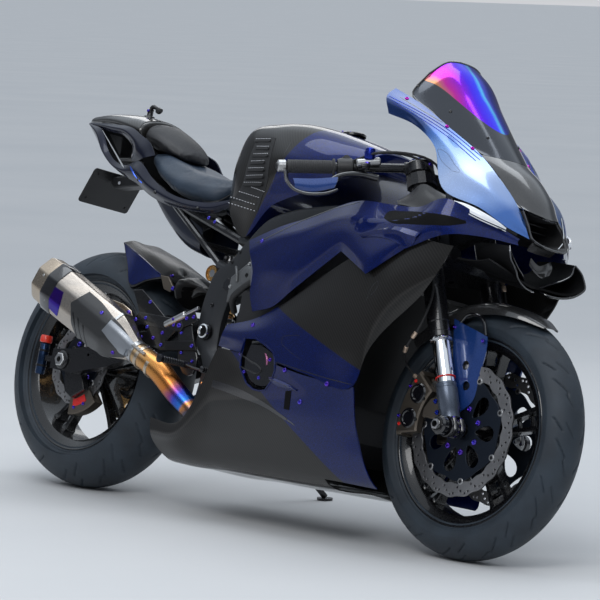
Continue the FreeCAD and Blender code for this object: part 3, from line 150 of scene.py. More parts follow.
def ramp_colours(tree, factor, stops):
    ramp = node(tree, "ShaderNodeValToRGB", Fac=factor)
    elements = ramp.color_ramp.elements
    while len(elements) < len(stops):
        elements.new(0.5)
    for element, (place, colour) in zip(elements, stops):
        element.position = place
        element.color = colour + (1,)
    return ramp.outputs["Color"]


def along_line(tree, place, start, end):
    """How far a point lies from start (0) to end (1), both upright millimetres."""
    start, end = Vector(start) / 1000, Vector(end) / 1000
    way = end - start
    dot = vector_math(tree, "DOT_PRODUCT", place, way / way.length_squared)
    return combine(tree, "SUBTRACT", dot.outputs["Value"], start.dot(way) / way.length_squared)


def bump(tree, shader, height, strength, distance):
    made = node(tree, "ShaderNodeBump", Strength=strength, Distance=distance, Height=height)
    fill(shader, Normal=made.outputs["Normal"])


def surface_material(name, colour, roughness, metallic, grain, vary=0.15, coat=0.0, coat_roughness=0.05, specular=0.5,
                     second=None, stretch=None):
    """A finish with small changes of colour and gloss and a fine grain, given by its scale and strength."""
    material, tree, shader = new_material(name)
    place = position(tree)
    wide = noise(tree, place, 14, 5, 0.3, 0.7, stretch)
    fine = noise(tree, place, grain[0] * 10, 3, 0.25, 0.75, stretch)
    other = second or tuple(channel * (1 - vary) for channel in colour)
    gloss = blend_value(tree, fine, roughness * (1 - GLOSS_SPREAD), roughness * (1 + GLOSS_SPREAD))
    fill(shader, Base_Color=mix_colour(tree, wide, colour, other), Roughness=gloss, Metallic=metallic, Coat_Weight=coat,
         Coat_Roughness=coat_roughness, Specular_IOR_Level=specular)
    bump(tree, shader, fine, grain[1], 0.0004)
    return material


def paint_colour(tree, place):
    """Deep blue with metal flakes."""
    flakes = node(tree, "ShaderNodeTexVoronoi", Scale=FLAKE_SCALE, Vector=place)
    split = node(tree, "ShaderNodeSeparateColor", Color=flakes.outputs["Color"])
    ramp = node(tree, "ShaderNodeMapRange", From_Min=0.55, From_Max=1.0, Value=split.outputs[0])
    return mix_colour(tree, ramp.outputs["Result"], PAINT_BLUE, PAINT_FLAKE)


def paint_material():
    material, tree, shader = new_material("blue_paint")
    place = position(tree)
    gloss = blend_value(tree, noise(tree, place, 900, 2, 0.3, 0.7), 0.34, 0.46)
    fill(shader, Base_Color=paint_colour(tree, place), Metallic=0.55, Roughness=gloss, Coat_Roughness=0.02,
         **CLEAR_COAT)
    return material


def cowl_painted_reflection_material():
    """The same blue over the cowl, paler towards the nose by a painted reflection of the bright sky."""
    material, tree, shader = new_material("cowl_blue_painted_reflection")
    place = position(tree)
    along = along_line(tree, place, (505, 0, 1030), (735, 0, 845))
    # The pale stops of this ramp are a painted sky reflection laid over the blue paint.
    tint = ramp_colours(tree, combine(tree, "ADD", along, wander(tree, place, 6, 2, 0.25)),
                        ((0.0, (0.004, 0.035, 0.16)), (0.12, (0.012, 0.09, 0.34)), (0.30, (0.14, 0.27, 0.55)),
                         (0.62, (0.34, 0.44, 0.66)), (0.88, (0.20, 0.32, 0.62)), (1.0, (0.03, 0.12, 0.40))))
    gloss = blend_value(tree, noise(tree, place, 900, 2, 0.3, 0.7), 0.20, 0.28)
    fill(shader, Base_Color=tint, Metallic=0.7, Roughness=gloss, Coat_Weight=1.0, Coat_Roughness=0.02)
    return material


def weave(tree, place):
    """A two-by-two twill as seen from the side: 0 and 1 for the two directions of the tows."""
    split = node(tree, "ShaderNodeSeparateXYZ", Vector=place)
    steps = [combine(tree, "FLOOR", combine(tree, "DIVIDE", split.outputs[axis], TOW_WIDTH)) for axis in "XZ"]
    return combine(tree, "GREATER_THAN", combine(tree, "FLOORED_MODULO", combine(tree, "ADD", *steps), 4), 1.5)


def carbon_material():
    material, tree, shader = new_material("carbon_twill")
    tows = weave(tree, position(tree))
    fill(shader, Base_Color=mix_colour(tree, tows, CARBON_DARK, CARBON_LIGHT), Coat_Weight=1.0, Coat_Roughness=0.04,
         Roughness=blend_value(tree, tows, 0.42, 0.3))
    bump(tree, shader, tows, 0.06, 0.0001)
    return material


def half_plane(tree, place, points):
    """0 on one side and 1 on the other side of a side-view line through two (x, z) points in metres."""
    (x1, z1), (x2, z2) = points
    length = math.hypot(x2 - x1, z2 - z1)
    normal = ((z2 - z1) / length, 0, (x1 - x2) / length)
    dot = vector_math(tree, "DOT_PRODUCT", place, normal)
    start = normal[0] * x1 + normal[2] * z1
    ramp = node(tree, "ShaderNodeMapRange", interpolation_type="SMOOTHSTEP", From_Min=start - MASK_EDGE,
                From_Max=start + MASK_EDGE, Value=dot.outputs["Value"])
    return ramp.outputs["Result"]


def two_tone(name, first, second, y):
    """Blue paint on one side of the line under two image points in the plane at y, carbon on the other."""
    material, tree, shader = new_material(name)
    place = position(tree)
    blue = half_plane(tree, place, [(p.x / 1000, p.z / 1000) for p in (at_side(*first, y), at_side(*second, y))])
    tows = weave(tree, place)
    dark = mix_colour(tree, tows, CARBON_DARK, CARBON_LIGHT)
    fill(shader, Base_Color=mix_colour(tree, blue, dark, paint_colour(tree, place)), Roughness=0.4,
         Metallic=combine(tree, "MULTIPLY", blue, 0.55), Coat_Roughness=0.03, **CLEAR_COAT)
    bump(tree, shader, combine(tree, "MULTIPLY", tows, combine(tree, "SUBTRACT", 1.0, blue)), 0.05, 0.0001)
    return material


def screen_material():
    """Mirror film that runs from orange by magenta and violet to blue, over a smoke grey foot."""
    material, tree, shader = new_material("iridescent_screen")
    place = position(tree)
    split = node(tree, "ShaderNodeSeparateXYZ", Vector=place)
    across = node(tree, "ShaderNodeMapRange", From_Min=-SCREEN_HALF_WIDTH, From_Max=SCREEN_HALF_WIDTH,
                  Value=split.outputs["Y"])
    factor = combine(tree, "ADD", across.outputs["Result"], wander(tree, place, 9, 3, 0.1))
    film = ramp_colours(tree, factor, ((0.0, (0.10, 0.08, 0.10)), (0.05, (0.50, 0.20, 0.08)),
                                       (0.11, (0.52, 0.02, 0.30)), (0.21, (0.26, 0.005, 0.62)),
                                       (0.33, (0.06, 0.002, 0.85)), (0.44, (0.006, 0.02, 0.95)),
                                       (0.495, (0.06, 0.55, 1.0)), (0.53, (0.01, 0.04, 0.75)),
                                       (0.72, (0.015, 0.012, 0.36)), (0.88, (0.04, 0.01, 0.24)),
                                       (0.96, (0.42, 0.10, 0.05)), (1.0, (0.12, 0.06, 0.05))))
    bow = combine(tree, "MULTIPLY", combine(tree, "POWER", combine(tree, "ABSOLUTE", split.outputs["Y"]), 2.0), 8.2)
    foot = node(tree, "ShaderNodeMapRange", interpolation_type="SMOOTHSTEP", From_Min=SCREEN_FOOT[0],
                From_Max=SCREEN_FOOT[1], Value=combine(tree, "SUBTRACT", split.outputs["Z"], bow))
    fill(shader, Base_Color=mix_colour(tree, foot.outputs["Result"], (0.055, 0.06, 0.07), film), Metallic=0.85,
         Roughness=blend_value(tree, noise(tree, place, 300, 2), 0.10, 0.16), Coat_Weight=0.3, Coat_Roughness=0.02)
    return material


def heat_material():
    """Titanium coloured by heat: straw and orange, then purple and blue towards the engine."""
    material, tree, shader = new_material("heat_tinted_titanium")
    place = position(tree)
    along = along_line(tree, place, (-352, -198, 360), (-165, -150, 235))
    tint = ramp_colours(tree, combine(tree, "ADD", along, wander(tree, place, 16, 4, 0.12)),
                        ((0.0, (0.52, 0.36, 0.20)), (0.25, (0.62, 0.30, 0.09)), (0.64, (0.58, 0.20, 0.05)),
                         (0.74, (0.24, 0.06, 0.22)), (0.80, (0.05, 0.08, 0.50)), (0.90, (0.03, 0.18, 0.60)),
                         (0.94, (0.55, 0.22, 0.06)), (1.0, (0.10, 0.09, 0.12))))
    fine = noise(tree, place, 500, 3, 0.25, 0.75)
    fill(shader, Base_Color=tint, Metallic=1.0, Roughness=blend_value(tree, fine, 0.22, 0.34))
    bump(tree, shader, fine, 0.08, 0.0003)
    return material


# Finishes: name, colour, roughness, metal share, grain and the values that differ from surface_material's own.
FINISHES = {
    "nose_carbon": ("nose_carbon", (0.03, 0.03, 0.031), 0.3, 0.2, (60, 0.03), dict(coat=1.0)),
    "champagne": ("champagne_metal", (0.55, 0.46, 0.36), 0.25, 1.0, (60, 0.1)),
    "violet_patch": ("violet_patch", (0.06, 0.015, 0.22), 0.2, 0.9, (30, 0.05), dict(second=(0.02, 0.02, 0.35))),
    "gold_chain": ("chain_plates", (0.3, 0.24, 0.14), 0.35, 1.0, (60, 0.2)),
    "canister_blue": ("canister_blue", (0.012, 0.03, 0.075), 0.25, 0.8, (60, 0.05)),
    "rose_metal": ("rose_metal", (0.6, 0.22, 0.38), 0.25, 0.9, (60, 0.05)),
    "cast_grey": ("cast_alloy", (0.14, 0.145, 0.15), 0.5, 0.7, (90, 0.5)),
    "display": ("display_glass", (0.01, 0.012, 0.016), 0.08, 0.0, (20, 0.0), dict(coat=1.0)),
    "satin_silver": ("satin_silver", (0.33, 0.35, 0.38), 0.35, 0.8, (60, 0.1)),
    "shield_carbon": ("shield_carbon", (0.035, 0.035, 0.036), 0.36, 0.2, (400, 0.2), dict(coat=0.6, specular=0.3)),
    "satin_carbon": ("satin_carbon", (0.02, 0.02, 0.021), 0.42, 0.0, (300, 0.2),
                     dict(coat=0.25, coat_roughness=0.2, specular=0.3)),
    "void_black": ("void_black", (0.003, 0.003, 0.0035), 0.6, 0.0, (60, 0.1), dict(specular=0.1)),
    "cap_red": ("cap_red", (0.75, 0.035, 0.012), 0.35, 0.0, (60, 0.05), dict(coat=0.5)),
    "shell_black": ("shell_black", (0.006, 0.006, 0.007), 0.3, 0.0, (60, 0.1), dict(coat=0.4, specular=0.25)),
    "boot": ("fork_foot_grey", (0.1, 0.12, 0.16), 0.3, 0.6, (60, 0.05)),
    "brass": ("beige_fittings", (0.62, 0.47, 0.36), 0.35, 0.7, (60, 0.1)),
    "guard_blue": ("guard_blue", (0.012, 0.05, 0.22), 0.3, 0.3, (60, 0.03), dict(coat=1.0)),
    "grip": ("grip_rubber", (0.035, 0.035, 0.037), 0.7, 0.0, (160, 0.5)),
    "orange": ("orange_cap", (0.9, 0.25, 0.02), 0.4, 0.0, (60, 0.1)),
    "navy": ("navy_satin", (0.006, 0.011, 0.03), 0.35, 0.2, (60, 0.05), dict(coat=0.6)),
    "edge_blue": ("edge_blue", (0.02, 0.12, 0.75), 0.25, 0.6, (60, 0.05), dict(coat=0.6)),
    "cyan": ("cyan_stitch", (0.0, 0.42, 0.72), 0.5, 0.0, (60, 0.2)),
    "pink": ("magenta_stitch", (0.75, 0.03, 0.32), 0.5, 0.0, (60, 0.2)),
    "magenta": ("magenta_anodised", (0.55, 0.02, 0.5), 0.2, 1.0, (30, 0.05)),
    "tail_navy": ("tail_navy", (0.002, 0.004, 0.018), 0.22, 0.35, (60, 0.03), dict(coat=0.5, specular=0.2)),
    "frame_metal": ("frame_metal", (0.028, 0.03, 0.034), 0.42, 0.35, (90, 0.35)),
    "black_metal": ("black_metal", (0.012, 0.012, 0.014), 0.28, 0.3, (50, 0.06), dict(coat=0.4)),
    "engine_metal": ("engine_metal", (0.022, 0.022, 0.024), 0.5, 0.4, (70, 0.5)),
    "steel": ("brushed_steel", (0.42, 0.42, 0.43), 0.3, 1.0, (40, 0.15), dict(vary=0.3)),
    "bare_metal": ("bare_aluminium", (0.5, 0.5, 0.5), 0.32, 1.0, (80, 0.1)),
    "chrome": ("chrome", (0.75, 0.76, 0.78), 0.08, 1.0, (20, 0.02), dict(vary=0.05)),
    "gold": ("gold_anodised", (0.75, 0.45, 0.18), 0.25, 1.0, (50, 0.05)),
    "bronze": ("caliper_bronze", (0.16, 0.135, 0.11), 0.38, 0.8, (90, 0.2)),
    "violet": ("violet_anodised", (0.16, 0.045, 0.52), 0.24, 1.0, (140, 0.05), dict(second=(0.08, 0.11, 0.6))),
    "blue_metal": ("blue_anodised", (0.02, 0.04, 0.35), 0.25, 0.9, (30, 0.05)),
    "red": ("red_enamel", (0.7, 0.015, 0.012), 0.3, 0.0, (30, 0.05), dict(coat=0.6)),
    # The tyre's blue tint, in both colours, is a painted reflection of the blue sky on black rubber.
    "tyre": ("tyre_rubber", (0.012, 0.018, 0.026), 0.58, 0.0, (120, 0.5), dict(second=(0.024, 0.036, 0.05))),
    "rim_black": ("rim_black", (0.004, 0.004, 0.005), 0.28, 0.0, (30, 0.02), dict(coat=0.6, specular=0.3)),
    "carrier": ("carrier_blue_black", (0.012, 0.018, 0.03), 0.35, 0.6, (80, 0.15)),
    "disc_steel": ("disc_steel", (0.36, 0.355, 0.36), 0.34, 0.9, (60, 0.3), dict(vary=0.35)),
    "rubber": ("rubber", (0.014, 0.014, 0.015), 0.6, 0.0, (100, 0.4)),
    "plastic": ("black_plastic", (0.014, 0.014, 0.015), 0.45, 0.0, (140, 0.4)),
    "gloss_black": ("gloss_black", (0.006, 0.006, 0.008), 0.2, 0.0, (20, 0.0), dict(coat=1.0)),
    "lamp": ("lamp_white", (0.9, 0.92, 0.95), 0.15, 0.0, (20, 0.02), dict(vary=0.05, coat=0.6)),
    "red_lens": ("red_lens", (0.25, 0.01, 0.012), 0.15, 0.0, (20, 0.02), dict(coat=0.8)),
    "seat": ("seat_leather", (0.014, 0.026, 0.045), 0.5, 0.0, (35, 0.5), dict(second=(0.022, 0.038, 0.062))),
    "pad": ("pad_leather", (0.012, 0.012, 0.014), 0.5, 0.0, (40, 0.5)),
    "titanium": ("titanium", (0.5, 0.44, 0.38), 0.28, 1.0, (60, 0.15),
                 dict(second=(0.42, 0.38, 0.34), stretch=(1, 1, 6))),
    "thread": ("pale_thread", (0.75, 0.76, 0.8), 0.6, 0.0, (60, 0.2)),
    "radiator": ("radiator_core", (0.012, 0.012, 0.012), 0.5, 0.4, (60, 0.4)),
    "screen": ("screen_glass", (0.05, 0.02, 0.4), 0.1, 0.5, (20, 0.0), dict(coat=1.0)),
}
MATERIALS = {}


def make_materials():
    for key, (name, colour, roughness, metallic, grain, *more) in FINISHES.items():
        MATERIALS[key] = surface_material(name, colour, roughness, metallic, grain, **(more[0] if more else {}))
    MATERIALS.update(
        side_paint=two_tone("side_paint", (275, 308), (353, 365), -238),
        belly_paint=two_tone("belly_paint", (337.7, 480), (294.8, 426), -190),
        tank_paint=two_tone("tank_paint", (262, 200), (300, 138), -160),
        iridescent=screen_material(), heat_tint=heat_material(), paint=paint_material(), cowl_paint=cowl_painted_reflection_material(),
        carbon=carbon_material())


NODE_MATERIALS = {
    "paint": ("tail_fairing_", "shoulder_fairing_", "side_fairing_", "cowl_", "fuel_tank", "front_fender"),
    "carbon": ("belly_pan", "rear_hugger", "tail_cover", "silencer_shield"),
    "frame_metal": ("frame_",),
    "black_metal": ("front_rim", "rear_rim", "triple_clamps", "handlebars", "swingarm_", "rearset_", "subframe",
                    "plate_holder", "fairing_stay", "side_stand"),
    "engine_metal": ("engine",),
    "steel": ("front_discs", "rear_disc", "drive_chain", "rear_sprocket"),
    "bare_metal": ("front_axle", "rear_axle", "rear_shock"),
    "chrome": ("fork_legs",),
    "bronze": ("front_calipers", "rear_brake"),
    "tyre": ("front_tyre", "rear_tyre"),
    "rubber": ("grips", "brake_hoses", "tank_grips"),
    "plastic": ("hand_controls", "undertray", "nose_duct", "chin_splitter", "cockpit"),
    "seat": ("rider_seat",),
    "pad": ("pillion_pad",),
    "titanium": ("exhaust_pipe", "silencer"),
    "lamp": ("position_lamps",),
    "red_lens": ("tail_light",),
    "radiator": ("radiator",),
    "screen": ("windscreen",),
}


def dress_nodes():
    """Give each CAD node the material of the longest name start that fits it."""
    for name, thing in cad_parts.items():
        fitting = [(len(start), key) for key, starts in NODE_MATERIALS.items() for start in starts
                   if name.startswith(start)]
        material = MATERIALS[max(fitting)[1]]
        thing.data.materials.clear()
        thing.data.materials.append(material)


# ---- Shapes

def fork_point(along, side=0):
    return FRONT_AXLE + STEER_UP * along + Vector((0, side * HALF_FORK, 0))


def polar(radius, turn, y=0):
    """A step from an axle: a radius at an angle above +X in radians, and a distance to the left."""
    return Vector((radius * math.cos(turn), y, radius * math.sin(turn)))


def circle(radius, count, phase=0.0, centre=(0, 0)):
    return [(centre[0] + radius * math.cos(phase + 2 * math.pi * i / count),
             centre[1] + radius * math.sin(phase + 2 * math.pi * i / count)) for i in range(count)]


def new_object(name, data):
    thing = bpy.data.objects.new(name, data)
    bpy.context.scene.collection.objects.link(thing)
    return thing


def final_mesh(thing):
    return bpy.data.meshes.new_from_object(thing.evaluated_get(bpy.context.evaluated_depsgraph_get()))


def spline(points, steps, corners=()):
    """A smooth line through points, broken at the corners, with an equal number of steps to each span."""
    points = [Vector(point) for point in points]
    spans = [max((after - before).length, 1e-6) for before, after in zip(points, points[1:])]
    slopes = [(after - before) / span for before, after, span in zip(points, points[1:], spans)]
    last = len(spans)

    def tangent(index, span):
        if index in (0, last) or index in corners:
            return slopes[span]
        low, high = spans[index - 1], spans[index]
        return (slopes[index - 1] * high + slopes[index] * low) / (low + high)

    line = []
    for span in range(last):
        start, end = tangent(span, span) * spans[span], tangent(span + 1, span) * spans[span]
        for step in range(steps):
            t = step / steps
            line.append(points[span] * (2 * t ** 3 - 3 * t ** 2 + 1) + start * (t ** 3 - 2 * t ** 2 + t)
                        + points[span + 1] * (3 * t ** 2 - 2 * t ** 3) + end * (t ** 3 - t ** 2))
    return line + [points[-1]]


def smooth_grid(ribs, across, along, rib_corners=(), row_corners=()):
    """A dense grid of points through ribs of equal length."""
    fine = [spline(rib, across, rib_corners) for rib in ribs]
    columns = [spline([rib[index] for rib in fine], along, row_corners) for index in range(len(fine[0]))]
    return [list(row) for row in zip(*columns)]


def whole(rib):
    """A rib from edge to edge, from its right half, which starts or ends on the middle plane."""
    other = [(x, -y, z) for x, y, z in rib if y != 0][::-1]
    return other + list(rib) if rib[0][1] == 0 else list(rib) + other


def mirrored(points, side):
    """Points drawn for the right side (negative y), on the side that is asked for."""
    return [Vector((p[0], -side * p[1], p[2])) for p in points]


def mirrored_rows(grid, side):
    return [mirrored(row, side) for row in grid]


class Shape:
    """Closed meshes of one piece, each with its material."""

    def __init__(self, name):
        self.name, self.points, self.faces, self.paints, self.materials = name, [], [], [], []

    def add(self, points, faces, material):
        if material not in self.materials:
            self.materials.append(material)
        base = len(self.points)
        self.points += [Vector(point) for point in points]
        self.faces += [tuple(base + index for index in face) for face in faces]
        self.paints += [self.materials.index(material)] * len(faces)

    def loops(self, loops, material, closed=False):
        """A skin over loops of equal length."""
        count = len(loops[0])
        faces = []
        rows = len(loops)
        for row in range(rows if closed else rows - 1):
            low, high = row * count, (row + 1) % rows * count
            for index in range(count):
                after = (index + 1) % count
                faces.append((low + index, low + after, high + after, high + index))
        if not closed:
            faces += [tuple(range(count))[::-1], tuple(range((rows - 1) * count, rows * count))]
        self.add([point for loop in loops for point in loop], faces, material)

    def sheet(self, grid, wall, out, material):
        """A grid of points given a thickness on the side away from the out direction."""
        rows, count = len(grid), len(grid[0])
        normals = []
        for row in range(rows):
            line = []
            for index in range(count):
                down = grid[min(row + 1, rows - 1)][index] - grid[max(row - 1, 0)][index]
                over = grid[row][min(index + 1, count - 1)] - grid[row][max(index - 1, 0)]
                normal = down.cross(over)
                line.append(normal.normalized() if normal.length > 1e-9 else None)
            normals.append(line)
        for row in range(rows):
            for index in range(count):
                if normals[row][index] is None:
                    near = [n for other in normals[max(row - 1, 0):row + 2] for n in other if n is not None]
                    normals[row][index] = sum(near, Vector()).normalized()
        total = sum((n for line in normals for n in line), Vector())
        sign = 1 if total.dot(Vector(out)) > 0 else -1
        inner = [[point - normal * sign * wall for point, normal in zip(line, turned)]
                 for line, turned in zip(grid, normals)]
        loops = [list(outside) + list(inside)[::-1] for outside, inside in zip(grid, inner)]
        self.loops(loops, material)

    def prism(self, outline, near, far, material, bevel=0):
        """A side-view outline of (x, z) points from y = near to y = far, with chamfered edges."""
        def ring(y, inset):
            area = sum(a[0] * b[1] - b[0] * a[1] for a, b in zip(outline, outline[1:] + outline[:1]))
            sign = 1 if area > 0 else -1
            line = []
            for index, corner in enumerate(outline):
                before, after = Vector(outline[index - 1]), Vector(outline[(index + 1) % len(outline)])
                first, second = (Vector(corner) - before).normalized(), (after - Vector(corner)).normalized()
                inward = Vector((-first.y, first.x)) + Vector((-second.y, second.x))
                inward = inward * sign / max(inward.length_squared / 2, 0.4)
                place = Vector(corner) + inward * inset
                line.append(Vector((place.x, y, place.y)))
            return line
        way = 1 if far > near else -1
        rings = [ring(near, bevel), ring(near + way * bevel, 0), ring(far - way * bevel, 0), ring(far, bevel)]
        self.loops(rings if bevel else [rings[0], rings[3]], material)

    def lathe(self, centre, profile, steps, material, axis=ACROSS, closed=True):
        """A ring about an axis from (radius, along) points: closed, or with its ends on the axis."""
        turn = Vector(UP).rotation_difference(Vector(axis))
        rings = []
        for index in range(steps):
            angle = 2 * math.pi * index / steps
            rings.append([Vector(centre) + turn @ Vector((r * math.cos(angle), r * math.sin(angle), along))
                          for r, along in profile])
        self.loops(rings if closed else [list(loop) for loop in zip(*rings)], material, closed)

    def rod(self, start, end, radius, material, sides=20, bevel=1.0):
        """A round bar with softened ends."""
        start, end = Vector(start), Vector(end)
        length = (end - start).length
        bevel = min(bevel, radius * 0.5, length * 0.4)
        profile = [(radius - bevel, 0), (radius, bevel), (radius, length - bevel), (radius - bevel, length)]
        self.lathe(start, profile, sides, material, end - start, closed=False)

    def tube(self, points, radius, material, steps=6, sides=12, corners=(), flat=1.0):
        """A bent bar along a smooth line. The radius may be a list, one to each point."""
        line = spline(points, steps, corners)
        radii = radius if isinstance(radius, (list, tuple)) else [radius] * len(points)
        sizes = [value.x for value in spline([(r, 0, i * 1e-3) for i, r in enumerate(radii)], steps)]
        way = (line[1] - line[0]).normalized()
        over = way.cross(Vector((0.3, 0.2, 1))).normalized()
        loops = []
        for index, place in enumerate(line):
            run = (line[min(index + 1, len(line) - 1)] - line[max(index - 1, 0)]).normalized()
            over = way.rotation_difference(run) @ over
            way = run
            high = way.cross(over)
            size = sizes[index]
            loops.append([place + over * size * math.cos(a) + high * size * flat * math.sin(a)
                          for a in (2 * math.pi * s / sides for s in range(sides))])
        self.loops(loops, material)

    def bolt(self, place, way, radius, material):
        """A button head with its socket."""
        height = radius * 0.55
        profile = [(radius, -height * 0.3), (radius, height * 0.35), (radius * 0.82, height * 0.85),
                   (radius * 0.5, height), (radius * 0.42, height * 0.9), (radius * 0.38, height * 0.3)]
        self.lathe(place, profile, 14, material, way, closed=False)

    def plate(self, outline, holes, thickness, centre, axis, material, bevel=0.4, up=UP):
        """A flat plate with holes, its outline in (across, up) points about the centre."""
        data = bpy.data.curves.new("outline", "CURVE")
        data.dimensions = "2D"
        data.fill_mode = "BOTH"
        data.extrude = thickness / 2 - bevel
        data.bevel_depth = bevel
        data.bevel_resolution = 0
        data.offset = -bevel
        for points in [outline] + list(holes):
            line = data.splines.new("POLY")
            line.points.add(len(points) - 1)
            for point, (u, v) in zip(line.points, points):
                point.co = (u, v, 0, 1)
            line.use_cyclic_u = True
        holder = bpy.data.objects.new("outline", data)
        mesh = bpy.data.meshes.new_from_object(holder)
        axis = Vector(axis).normalized()
        up = (Vector(up) - axis * Vector(up).dot(axis)).normalized()
        across = up.cross(axis)
        points = [Vector(centre) + across * v.co.x + up * v.co.y + axis * v.co.z for v in mesh.vertices]
        self.add(points, [tuple(face.vertices) for face in mesh.polygons], material)
        bpy.data.objects.remove(holder)
        bpy.data.curves.remove(data)
        bpy.data.meshes.remove(mesh)

    def mesh(self, painted):
        """The leaned mesh in metres. A painted one is welded and has its materials."""
        mesh = bpy.data.meshes.new(self.name)
        mesh.from_pydata([tuple(point) for point in self.points], [], self.faces)
        if painted:
            for material in self.materials:
                mesh.materials.append(MATERIALS[material])
            mesh.polygons.foreach_set("material_index", self.paints)
        work = bmesh.new()
        work.from_mesh(mesh)
        if painted:
            bmesh.ops.remove_doubles(work, verts=work.verts, dist=0.02)
            bmesh.ops.dissolve_degenerate(work, dist=0.001, edges=work.edges)
        bmesh.ops.recalc_face_normals(work, faces=work.faces)
        work.to_mesh(mesh)
        work.free()
        mesh.transform(REST)
        return mesh

    def finish(self, body, slot, nodes=(), angle=35, cut=None):
        """Make the object, with its sharp edges and with a closed shape cut out of it."""
        mesh = self.mesh(painted=True)
        mesh.shade_smooth()
        mesh.set_sharp_from_angle(angle=math.radians(angle))
        thing = new_object(self.name, mesh)
        if cut:
            carve(thing, cut)
            thing.data.set_sharp_from_angle(angle=math.radians(angle))
        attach(thing, body)
        if nodes:
            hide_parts(*nodes)
        return thing


def carve(thing, cutter):
    """Cut a closed shape out of a piece for good."""
    tool = new_object("cutter", cutter.mesh(painted=False))
    step = thing.modifiers.new("cut", "BOOLEAN")
    step.operation = "DIFFERENCE"
    step.object = tool
    step.solver = "EXACT"
    bpy.context.view_layer.update()
    result = final_mesh(thing)
    thing.modifiers.remove(step)
    spent = thing.data, tool.data
    thing.data = result
    bpy.data.objects.remove(tool)
    for mesh in spent:
        bpy.data.meshes.remove(mesh)


# ---- Wheels

def near_line(u, v, line):
    """Distance from (u, v) to a broken line."""
    best = 1e9
    for (a, b), (c, d) in zip(line, line[1:]):
        length = (c - a) ** 2 + (d - b) ** 2
        t = min(max(((u - a) * (c - a) + (v - b) * (d - b)) / length, 0), 1)
        best = min(best, math.hypot(u - a - t * (c - a), v - b - t * (d - b)))
    return best


def build_tyre(name, centre, ring, crown, half, body):
    """A tyre with beads, a ribbed rim edge and slanted tread grooves in its crown."""
    shape = Shape(name)
    steps, count, pitches = 648, 56, 12
    groove_half, groove_depth, groove_wall = 2.6, 3.0, 1.2
    reach = ring + crown
    widest = 1.36
    bead = [(216.4, half - 8), (218.5, half - 2.5), (228.6, half - 1), (231.5, half + 1.5), (232.5, half + 3.2),
            (234, half + 3.2), (235, half + 4.4), (240, half + 6.4)]
    top = [(ring + crown * math.cos(widest), crown * math.sin(widest))]
    wall = spline([(r, y, 0) for r, y in bead[-1:] + top], 5)
    right = bead[:-1] + [(p.x, p.y) for p in wall]
    arc = [widest - 2 * widest * index / count for index in range(1, count)]
    crown_points = [(ring + crown * math.cos(a), crown * math.sin(a)) for a in arc]
    profile = right + crown_points + [(r, -y) for r, y in right[::-1]]
    inner = [(226, -(half - 14)), (226, half - 14)]
    first_crown = len(right)
    pitch = 2 * math.pi * reach / pitches
    grooves = []
    for hand in (1, -1):
        shift, span = 0.5 * pitch if hand < 0 else 0, crown * widest
        for lines in (((0.10, 0.16), (0.28, 0.34), (0.34, 0.30)), ((0.34, 0.30), (0.60, 0.66)),
                      ((0.66, 0.14), (0.86, 0.40)), ((0.74, 0.52), (0.95, 0.80))):
            grooves.append([(shift + u * pitch, hand * v * span) for u, v in lines])
    loops = []
    for step in range(steps):
        turn = 2 * math.pi * step / steps
        u = turn * reach % pitch
        loop = []
        for index, (r, y) in enumerate(profile + inner):
            if first_crown <= index < first_crown + len(arc):
                v = arc[index - first_crown] * crown
                gap = min(near_line(u + move, v, line) for line in grooves for move in (-pitch, 0, pitch))
                if gap < groove_half:
                    depth = groove_depth * min(1, (groove_half - gap) / groove_wall)
                    a = arc[index - first_crown]
                    r, y = r - depth * math.cos(a), y - depth * math.sin(a)
            loop.append(centre + polar(r, turn, y))
        loops.append(loop)
    shape.loops(loops, "tyre", closed=True)
    shape.finish(body, "tyre_rubber", [name.replace("_full", "")], angle=50)


def build_rim(name, centre, half, hub, hub_half, body, nodes):
    """A gloss black rim with a hub and five pairs of slim spokes."""
    shape = Shape(name)
    lip, seat, well, bore = 228, 216, 203, 14.5
    right = [(well - 5, half - 16), (well + 4, half - 8), (lip - 9, half - 4), (lip - 5, half - 1.5),
             (lip - 3.5, half - 0.4), (lip - 1.5, half), (lip, half - 1.2), (lip - 1, half - 4), (seat, half - 6),
             (seat - 0.5, half - 16), (well + 1, half - 26)]
    shape.lathe(centre, right + [(r, -y) for r, y in right[::-1]], 144, "rim_black")
    profile = [(bore, -hub_half), (hub - 6, -hub_half), (hub, -hub_half + 5), (hub * 0.8, -hub_half * 0.45),
               (hub * 0.8, hub_half * 0.45), (hub, hub_half - 5), (hub - 6, hub_half), (bore, hub_half)]
    shape.lathe(centre, profile, 64, "rim_black")
    base, tip, soft = hub * 0.72, well + 1, 2.2
    for index in range(5):
        angle = math.radians(72 * index + 90)
        out, along = polar(1, angle), Vector((-math.sin(angle), 0, math.cos(angle)))
        for hand in (-1, 1):
            rows = []
            for share, w, d in ((0, 11, 24), (0.12, 8.2, 21), (0.4, 6.4, 17), (0.75, 6.2, 15), (0.93, 8.5, 18),
                                (1, 13, 24)):
                section = [(-w, -d + soft), (-w + soft, -d), (w - soft, -d), (w, -d + soft),
                           (w, d - soft), (w - soft, d), (-w + soft, d), (-w, d - soft)]
                middle = centre + out * (base + (tip - base) * share) + along * hand * (8 + 17 * share)
                rows.append([middle + along * u + Vector((0, v, 0)) for u, v in section])
            fine = [spline([row[i] for row in rows], 4) for i in range(8)]
            shape.loops([list(loop) for loop in zip(*fine)], "rim_black")
        for r in (118, 158):
            over = along * (8 + 17 * (r - base) / (well - base))
            shape.tube([centre + out * r - over, centre + out * (r + 3), centre + out * r + over], 6.0, "rim_black",
                       steps=3, sides=8)
    shape.finish(body, "black_metal", nodes, angle=40)


